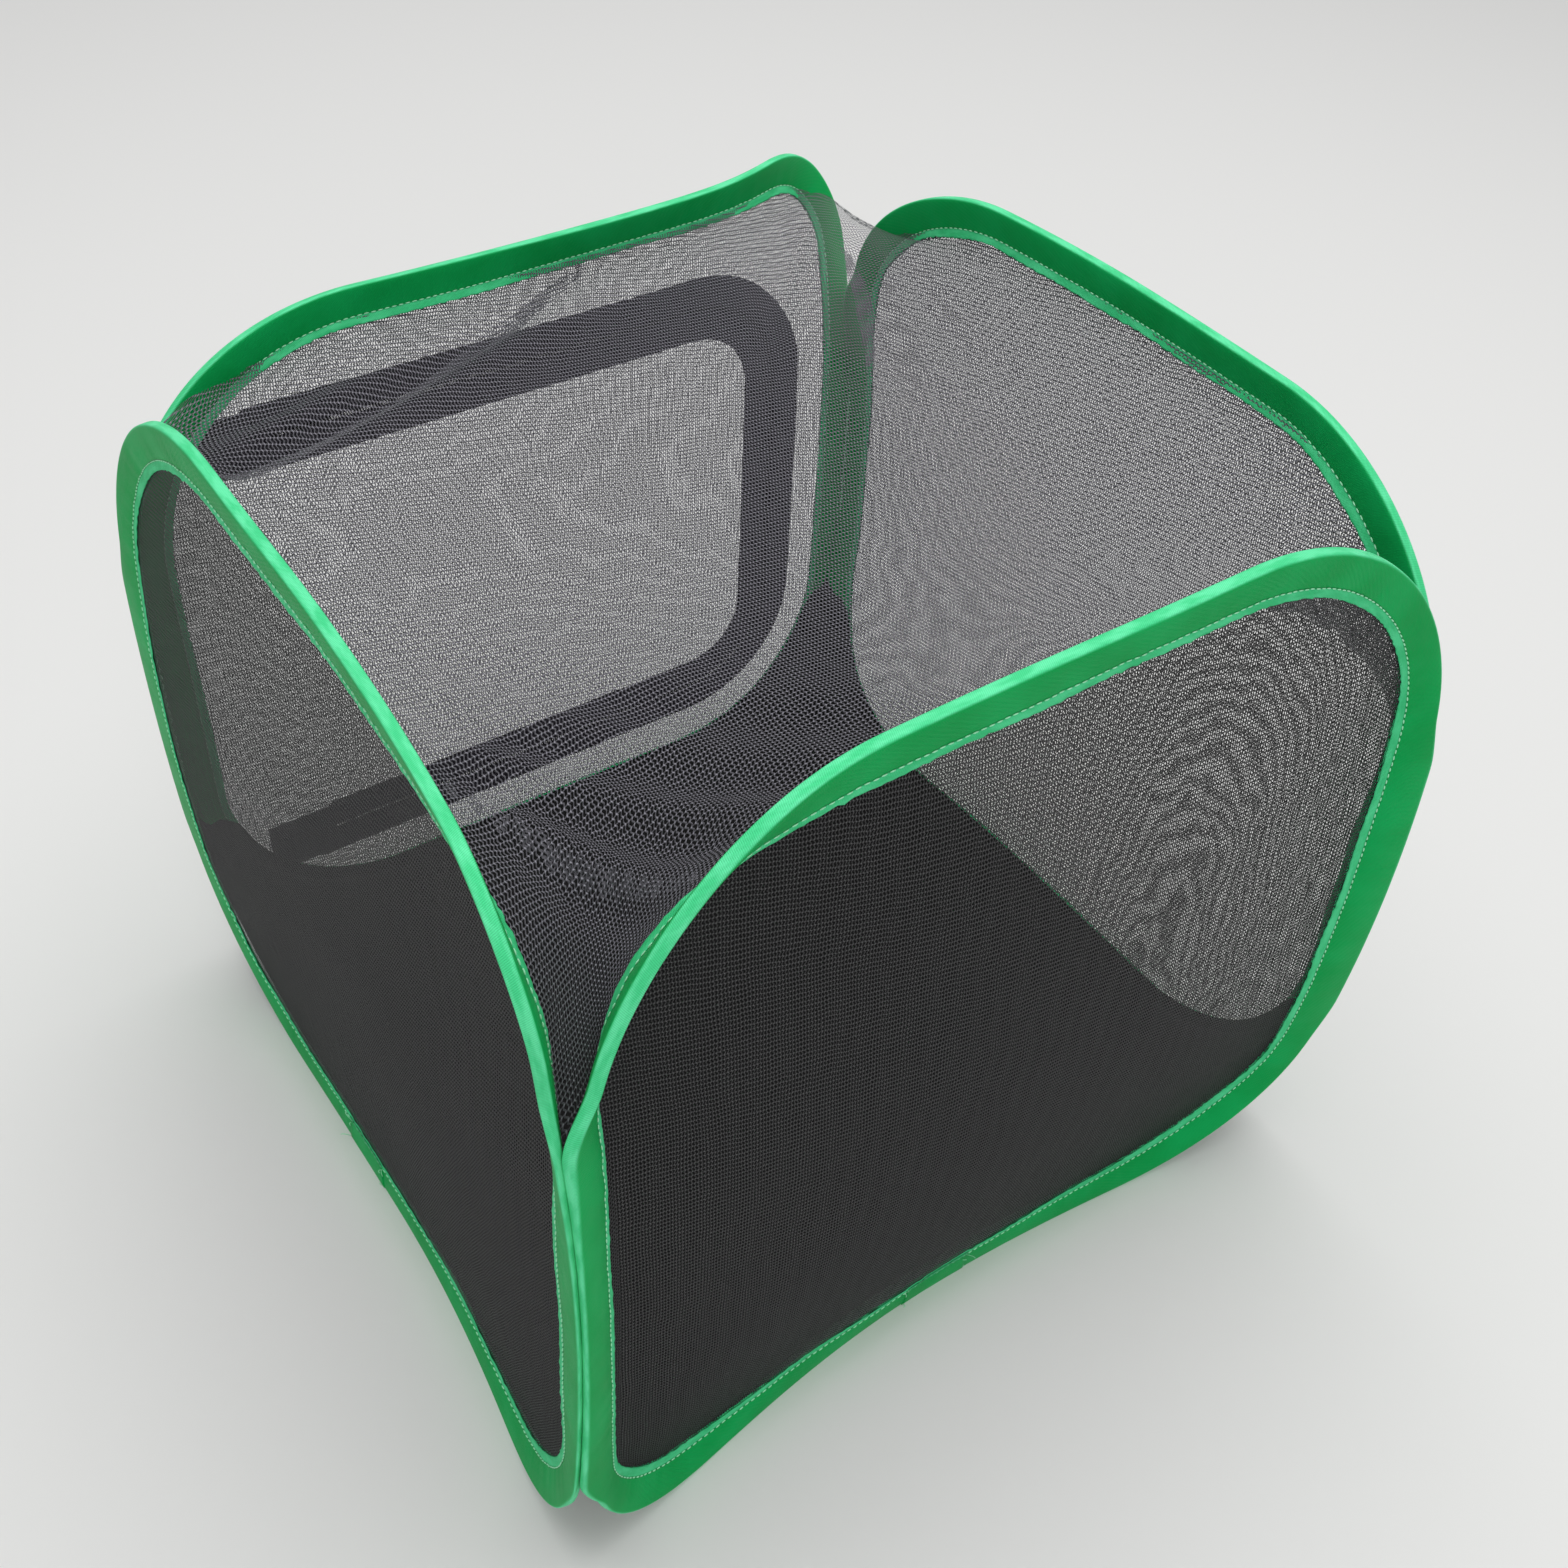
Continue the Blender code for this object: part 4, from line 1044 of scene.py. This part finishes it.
bridge_section = ((-1, -0.6), (-0.75, -1), (0.75, -1), (1, -0.6), (1, 0.6), (0.75, 1), (-0.75, 1), (-1, 0.6))
work = bmesh.new()
work.from_mesh(plate)
rings = []
for step, (x, y) in enumerate(bridge_path):
    before, after = bridge_path[max(step - 1, 0)], bridge_path[min(step + 1, len(bridge_path) - 1)]
    heading = Vector((after[0] - before[0], after[1] - before[1])).normalized()
    out = Vector((-heading.y, heading.x))
    rings.append([work.verts.new((x + out.x * lift * bridge_thick, y + out.y * lift * bridge_thick,
                                  middle.z + share * bridge_half)) for share, lift in bridge_section])
for first, second in zip(rings, rings[1:]):
    for corner in range(len(bridge_section)):
        after = (corner + 1) % len(bridge_section)
        work.faces.new((first[corner], first[after], second[after], second[corner]))
work.faces.new(rings[0])
work.faces.new(rings[-1])
work.to_mesh(plate)
work.free()
plate.polygons.foreach_set("use_smooth", [True] * len(plate.polygons))
put("zip_slider_body", turned_out(plate), enamel, "slider", "zip_metal", "zip_slider")

low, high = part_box("zip_pull")
middle = (low + high) / 2
pull_half = (high.z - low.z) / 2
tab = []
for step in range(17):
    angle = math.radians(-90 + 180 * step / 16)
    tab.append((high.x - pull_half + pull_half * math.cos(angle), middle.z + pull_half * math.sin(angle)))
head_side = ((0.0118, 0.96), (0.0088, 0.84), (0.0032, 0.80), (0.0012, 0.74), (0.0002, 0.52), (0.0, 0.25))
tab += [(low.x + x, middle.z + pull_half * share) for x, share in head_side]
tab += [(low.x + x, middle.z - pull_half * share) for x, share in reversed(head_side)]


def eye(centre_x, half_long, half_wide, steps=16):
    """A rounded hole in the pull."""
    return [(centre_x + half_long * math.copysign(abs(math.cos(turn)) ** 0.6, math.cos(turn)),
             middle.z + half_wide * math.copysign(abs(math.sin(turn)) ** 0.6, math.sin(turn)))
            for turn in (2 * math.pi * step / steps for step in range(steps))]


outline = bpy.data.curves.new("pull", "CURVE")
outline.dimensions = "2D"
outline.fill_mode = "BOTH"
edge_round = 0.0002
outline.extrude = (high.y - low.y) / 2 - edge_round
outline.bevel_depth = edge_round
outline.bevel_resolution = 2
outline.offset = -edge_round
for loop in (tab, eye(low.x + 0.0047, 0.0031, 0.0026), eye(high.x - 0.0052, 0.0016, 0.0016)):
    spline = outline.splines.new("POLY")
    spline.points.add(len(loop) - 1)
    for knot, (x, z) in zip(spline.points, loop):
        knot.co = (x, z, 0, 1)
    spline.use_cyclic_u = True
holder = in_scene("pull", outline)
mesh = bpy.data.meshes.new_from_object(holder.evaluated_get(bpy.context.evaluated_depsgraph_get()))
bpy.data.objects.remove(holder, do_unlink=True)
mesh.transform(Matrix(((1, 0, 0, 0), (0, 0, -1, middle.y), (0, 1, 0, 0), (0, 0, 0, 1))))
put("zip_pull_tab", turned_out(mesh, 0.00002), enamel, "pull", "zip_metal", "zip_pull")

# Top net and floor cloth. Both are sewn inside the four sleeves and run down, or up, into the corners where
# the hoops meet. Each is laid as two halves that part on the front-left to back-right fold of the cage.
seam_clear = 0.0011
cloth_steps = 91
settle_turns = 6000
cloth_rings = {True: ((0.0152, 0.0002, 0.0005), (0.0194, 0.0002, 0.0013)),
               False: ((0.0190, 0.0010, 0.0), (0.0138, 0.0032, 0.0))}
seam_climb = 0.030
net_span_level = 0.322
top_rib_pitch = 0.00142
top_course_pitch = 0.00232


def corner_levels(upper):
    """Height at each corner where the two hoops part, and a higher one where the net spans that gap."""
    levels = {pair: parting_heights(*pair)[1 if upper else 0] for pair in corners}
    if upper:
        levels["back", "right"] = levels["back", "left"] = net_span_level
    return levels


def seam_line(hoop, upper, levels, inset, depth, flare, count):
    """Even points along a hoop's upper or lower hem, corner to corner, that far in from its edge."""
    rows = []
    ends = (3, 2) if upper else (0, 1)
    for side, turn in zip((0, 1), ends):
        arc = hoop.line[corner_points * turn:corner_points * (turn + 1)]
        arc = sorted(arc, key=lambda row: abs(row[3]))
        steps = []
        for u, v, normal_u, normal_v, run in arc:
            draw = eased(min(1, max(0, abs(v - levels[side]) / seam_climb)))
            sunk = depth + flare * min(1, max(0, (abs(normal_v) - 0.35) / 0.4))
            reach = seam_clear + (inset - seam_clear) * draw
            inward, out = hoop.turned(run, reach, -(seam_clear + (sunk - seam_clear) * draw))
            place = (u + normal_u * inward, v + normal_v * inward, out)
            if (place[1] > levels[side]) == upper:
                steps.append(place)
        bend = hoop.turned(arc[0][4], seam_clear, -seam_clear)
        free = upper and levels[side] == net_span_level
        corner = (steps[0][0] if free else (1 if side else -1) * (half_wall - bend[0]), levels[side],
                  steps[0][2] if free else bend[1])
        steps = [corner] + steps
        rows += steps[::-1] if side else steps
    rows = np.array(rows)
    runs = run_lengths(rows)
    even = np.linspace(0, runs[-1], count)
    return hoop.place(np.interp(even, runs, rows[:, 0]), np.interp(even, runs, rows[:, 1]),
                      -np.interp(even, runs, rows[:, 2]))


def hung_grid(upper):
    """Grid of places of a cloth sewn under the hems of the four sleeves, drawn taut between them."""
    levels = corner_levels(upper)
    grid = np.zeros((cloth_steps, cloth_steps, 3))
    for ring, (inset, depth, flare) in enumerate(cloth_rings[upper]):
        span = slice(ring, cloth_steps - ring)
        count = cloth_steps - 2 * ring
        last = cloth_steps - 1 - ring
        lines = {name: seam_line(hoops[name], upper, ends, inset, depth, flare, count) for name, ends in (
            ("front", (levels["front", "left"], levels["front", "right"])),
            ("back", (levels["back", "left"], levels["back", "right"])),
            ("left", (levels["front", "left"], levels["back", "left"])),
            ("right", (levels["front", "right"], levels["back", "right"])))}
        for across_name, row in (("front", 0), ("back", -1)):
            for along_name, column in (("left", 0), ("right", -1)):
                meet = (lines[across_name][column] + lines[along_name][row]) / 2
                lines[across_name][column] = meet
                lines[along_name][row] = meet
        grid[span, ring], grid[span, last] = lines["front"], lines["back"]
        grid[ring, span], grid[last, span] = lines["left"], lines["right"]
    inner = len(cloth_rings[upper]) - 1
    field = grid[inner:-inner, inner:-inner]
    share = np.linspace(0, 1, len(field))[None, :, None]
    field[1:-1] = field[1:-1, :1] * (1 - share) + field[1:-1, -1:] * share
    for _ in range(settle_turns):
        field[1:-1, 1:-1] = (field[2:, 1:-1] + field[:-2, 1:-1] + field[1:-1, 2:] + field[1:-1, :-2]) / 4
    return grid


def crease(grid, start, end, wide, deep, fade=0.03):
    """Height of one fold along a line in plan: a trough with a low ridge beside it."""
    start, end = np.array(start), np.array(end)
    line = end - start
    length = np.hypot(*line)
    line = line / length
    offset = grid[..., :2] - start
    along = offset @ line
    away = offset @ np.array([-line[1], line[0]])
    keep = np.clip(along / fade, 0, 1) * np.clip((length - along) / fade, 0, 1)
    return deep * keep * (-np.exp(-(away / wide) ** 2) + 0.55 * np.exp(-((away - 1.7 * wide) / wide) ** 2))


def cloth_halves(name, grid, uv, finish, slot, node, doubled=None):
    """The two halves of a cloth, parted on the fold from the front-left to the back-right corner; doubled
    marks where it lies folded over."""
    steps = len(grid)
    for label, first, second, keep in (("right", "front_panel", "right_panel", lambda i, j: i >= j),
                                       ("left", "left_panel", "back_panel", lambda i, j: i <= j)):
        index = {}
        points, flat, marks = [], [], []
        for i in range(steps):
            for j in range(steps):
                if keep(i, j):
                    index[i, j] = len(points)
                    points.append(grid[i, j])
                    flat.append(uv[i, j])
                    marks.append(0.0 if doubled is None else doubled[i, j])
        faces = []
        for i in range(steps - 1):
            for j in range(steps - 1):
                ring = [spot for spot in ((i, j), (i + 1, j), (i + 1, j + 1), (i, j + 1)) if spot in index]
                if len(ring) > 2:
                    faces.append([index[spot] for spot in ring])
        mesh = bpy.data.meshes.new(name + "_" + label)
        mesh.from_pydata([tuple(point) for point in points], [], faces)
        layer = mesh.uv_layers.new(name="UVMap")
        for loop in mesh.loops:
            layer.data[loop.index].uv = flat[loop.vertex_index]
        mesh.polygons.foreach_set("use_smooth", [True] * len(faces))
        if doubled is not None:
            fold = mesh.attributes.new("fold", "FLOAT", "POINT")
            fold.data.foreach_set("value", np.array(marks, np.float32))
        half = put(name + "_" + label, mesh, finish, None, slot, *([node] if label == "right" else []))
        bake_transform(half)


# The top net's colours are painted sky light, a lit copy of the black wall net; its lighter knot colour is a
# painted glint.
top_net = net_finish("sky_lit_black_top_net", (0.078, 0.075, 0.088, 1), (0.275, 0.265, 0.310, 1), 0.18, folded=True)
top_grid = hung_grid(True)
steps = np.linspace(-1, 1, cloth_steps)
across, along = np.meshgrid(steps, steps, indexing="ij")
inside = (1 - across ** 8) * (1 - along ** 8)
top_grid[..., 2] -= 0.012 * np.cos(across * math.pi / 2) * np.cos(along * math.pi / 2)
plan = top_grid[..., :2]


def doubled_band(points, wide):
    """1 where the net lies within a fold that runs along the points, thinning towards its ends."""
    points = np.array(points)
    nearest = np.full(plan.shape[:2], np.inf)
    total = len(points) - 1
    for step, (start, end) in enumerate(zip(points, points[1:])):
        line = end - start
        share = np.clip(((plan - start) @ line) / (line @ line), 0, 1)
        gap = np.hypot(*np.moveaxis(plan - start - share[..., None] * line, -1, 0))
        taper = 0.35 + 0.65 * np.sin(np.pi * (step + share) / total)
        nearest = np.minimum(nearest, gap / taper)
    return np.clip(1.5 - nearest / wide, 0, 1)


folds = crease(top_grid, (0.045, 0.196), (-0.190, 0.098), 0.012, 0.0095, 0.02)
folds += crease(top_grid, (-0.02, 0.190), (-0.172, 0.140), 0.008, 0.0035)
for line, wide, deep in ((((-0.195, -0.085), (-0.105, -0.185)), 0.008, 0.0060),
                         (((-0.200, -0.110), (-0.135, -0.195)), 0.007, 0.0055),
                         (((-0.198, -0.050), (-0.070, -0.185)), 0.011, 0.0045),
                         (((-0.198, -0.010), (-0.030, -0.190)), 0.013, 0.0030),
                         (((0.120, -0.185), (0.198, -0.118)), 0.005, 0.0030),
                         (((0.135, -0.190), (0.200, -0.138)), 0.004, 0.0026),
                         (((0.100, -0.180), (0.196, -0.095)), 0.006, 0.0026),
                         (((0.165, 0.175), (0.090, 0.020)), 0.008, 0.0040),
                         (((0.150, 0.185), (0.055, 0.080)), 0.007, 0.0036),
                         (((0.175, 0.165), (0.130, 0.030)), 0.006, 0.0030)):
    folds += crease(top_grid, *line, wide, deep)
folds += slack(top_grid[..., 0], top_grid[..., 1], 81, 0.02, 0.12) * 0.0016
sides = [np.hypot(*np.moveaxis((top_grid - edge)[..., :2], -1, 0)) for edge in
         (top_grid[1:2], top_grid[-2:-1], top_grid[:, 1:2], top_grid[:, -2:-1])]
near = np.clip(np.minimum.reduce(sides) / 0.030, 0, 1)
top_grid[..., 2] += folds * eased(near)
doubled = np.maximum.reduce([doubled_band(points, wide) for points, wide in (
    (((0.030, 0.188), (-0.027, 0.164), (-0.071, 0.142), (-0.124, 0.122), (-0.180, 0.106)), 0.0060),
    (((-0.190, -0.100), (-0.168, -0.142), (-0.132, -0.180)), 0.0032),
    (((0.150, 0.150), (0.128, 0.105), (0.095, 0.055)), 0.0040))])
top_uv = chart(across * fold_line / top_rib_pitch, along * fold_line / top_course_pitch)
cloth_halves("top_net", top_grid, top_uv, top_net, "wall_net", "top_mesh", doubled)

floor_woven = Finish("black_floor_cloth", Roughness=0.78, Sheen_Weight=0.03, Specular_IOR_Level=0.3)
vector, (along_uv, across_uv, _) = floor_woven.where(2)
weave = (along_uv * (2 * math.pi / 0.0009)).sine() * (across_uv * (2 * math.pi / 0.0009)).sine()
dust = floor_woven.noise(vector, 14.0, 5.0)
lint = floor_woven.noise(vector, 420.0, 2.0)
base = floor_woven.mix(dust.clear(0.35, 0.75), (0.0048, 0.0048, 0.0052, 1), (0.0098, 0.0098, 0.0105, 1))
floor_woven.feed("Base Color", floor_woven.mix(lint.clear(0.70, 0.76), base, (0.10, 0.10, 0.10, 1)))
floor_woven.feed("Roughness", 0.66 + dust * 0.25)
floor_woven.bump(weave * 0.5 + lint * 0.5, 0.0002, 0.7)
floor_grid = hung_grid(False)
sides = [np.hypot(*np.moveaxis((floor_grid - edge)[..., :2], -1, 0)) for edge in
         (floor_grid[:1], floor_grid[-1:], floor_grid[:, :1], floor_grid[:, -1:])]
drop = np.exp(-(np.minimum.reduce(sides) / 0.030) ** 2)
crumple = slack(floor_grid[..., 0], floor_grid[..., 1], 82, 0.02, 0.14) * 0.0016 + 0.0012
floor_grid[..., 2] = 0.0004 + np.maximum(crumple, 0) * inside + (floor_grid[..., 2] - 0.0004) * drop
floor_uv = chart(across * fold_line, along * fold_line)
cloth_halves("floor", floor_grid, floor_uv, floor_woven, "floor_cloth", "floor_cloth")

# Corner seams. Neighbouring sleeves are whipped together down the fold line of each corner with a doubled
# green thread, under a narrow strip of the same satin that closes the gap between their edges.
whip_pitch = 0.0052
whip_reach = 0.0011
whip_thick = 0.0006
strip_bow = 0.0007
strip_thick = 0.0004
strip_steps = 48
seam_set_back = 0.0006
for (one, other), body in ((("front", "left"), "front_panel"), (("front", "right"), "front_panel"),
                           (("back", "left"), "left_panel"), (("back", "right"), "back_panel")):
    corner = one + "_" + other
    low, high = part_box("seam_" + corner)
    centre = (low + high) / 2
    side = [1 if place else -1 for place in corners[one, other]]
    outward = Vector((math.copysign(1, centre.x), math.copysign(1, centre.y), 0)).normalized()
    centre -= outward * seam_set_back
    tall = high.z - low.z
    count = int(tall / whip_pitch * 12)
    whip = [(centre.x + whip_reach * math.cos(step * math.pi / 6),
             centre.y + whip_reach * math.sin(step * math.pi / 6),
             low.z + tall * step / count) for step in range(count + 1)]
    core = [(centre.x, centre.y, low.z + tall * step / 30) for step in range(31)]
    mesh = thread_tube("seam_" + corner, [whip, core], whip_thick, 6)
    put("corner_whip_" + corner, mesh, green_thread, body, "sleeve_satin", "seam_" + corner)
    rise = np.linspace(low.z - 0.004, high.z + 0.004, strip_steps)[:, None]
    share = np.linspace(0, 1, 9)[None, :, None]
    edges = [hoops[name].place(turn * (half_wall - seam_set_back), rise, -strip_thick)
             for name, turn in zip((one, other), side)]
    bow = np.array(outward)[None, None, :] * np.sin(share * math.pi)
    top = edges[0] * (1 - share) + edges[1] * share + bow * strip_bow
    bottom = top - np.array(outward)[None, None, :] * strip_thick
    cross = section_length * (0.30 + 0.10 * np.linspace(0, 1, 2 * top.shape[1] + 1))
    mesh = flat_tube("corner_strip_" + corner, top, bottom, rise, cross)
    strip = put("corner_strip_" + corner, mesh, satin, body if body == "back_panel" else None, "sleeve_satin")
    strip_long = float(rise[-1, 0] - rise[0, 0])
    if body != "back_panel":
        ends = [edge[strip_steps // 2, 0] for edge in edges]
        if one == "back":
            ends = ends[::-1]
        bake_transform(strip)

# Camera, lamps and floor, for the photograph's view of the cage.
eye_point = Vector((-0.348744, -0.494938, 0.749923))
azimuth, elevation, roll = (math.radians(angle) for angle in (-36.7607, 43.0635, 3.4322))
backward = Vector((math.sin(azimuth) * math.cos(elevation), -math.cos(azimuth) * math.cos(elevation),
                   math.sin(elevation)))
level = Vector((0, 0, 1)).cross(backward).normalized()
rise = backward.cross(level)
rightward = level * math.cos(roll) + rise * math.sin(roll)
upward = rise * math.cos(roll) - level * math.sin(roll)
lens = bpy.data.cameras.new("camera")
lens.sensor_width = 36.0
lens.lens = 36.0 * 1858.44 / 1568
camera = in_scene("camera", lens)
turned = Matrix((rightward, upward, backward)).transposed().to_4x4()
camera.matrix_world = Matrix.Translation(eye_point) @ turned
bpy.context.scene.camera = camera

for name, place, side, power in (("sky_lamp", (0.3, 0.2, 2.4), 2.6, 46.0),
                                 ("near_lamp", (-1.2, -1.9, 1.9), 1.6, 20.0)):
    panel = bpy.data.lights.new(name, "AREA")
    panel.shape, panel.size, panel.energy = "SQUARE", side, power
    lamp = in_scene(name, panel)
    lamp.location = place
    lamp.rotation_euler = (Vector((0, 0, 0.15)) - Vector(place)).to_track_quat("-Z", "Y").to_euler()

world = bpy.data.worlds.new("studio")
bpy.context.scene.world = world
world.use_nodes = True
nodes, links = world.node_tree.nodes, world.node_tree.links
sky = nodes["Background"]
sky.inputs["Color"].default_value = (1.0, 1.0, 1.0, 1.0)
sky.inputs["Strength"].default_value = 0.36
seen = nodes.new("ShaderNodeBackground")
seen.inputs["Color"].default_value = (0.90, 0.90, 0.895, 1.0)
rays = nodes.new("ShaderNodeLightPath")
either = nodes.new("ShaderNodeMath")
either.operation = "MAXIMUM"
links.new(rays.outputs["Is Camera Ray"], either.inputs[0])
links.new(rays.outputs["Is Transmission Ray"], either.inputs[1])
blend = nodes.new("ShaderNodeMixShader")
links.new(either.outputs[0], blend.inputs[0])
links.new(sky.outputs[0], blend.inputs[1])
links.new(seen.outputs[0], blend.inputs[2])
links.new(blend.outputs[0], nodes["World Output"].inputs["Surface"])

bpy.ops.mesh.primitive_plane_add(size=30.0, location=(0, 0, -0.0002))
ground = bpy.context.object
ground.name = "pale_floor"
pale = Finish("pale_floor", Base_Color=(0.80, 0.80, 0.79, 1), Roughness=0.9)
dress(ground, pale)
bpy.context.scene.view_settings.view_transform = "Standard"
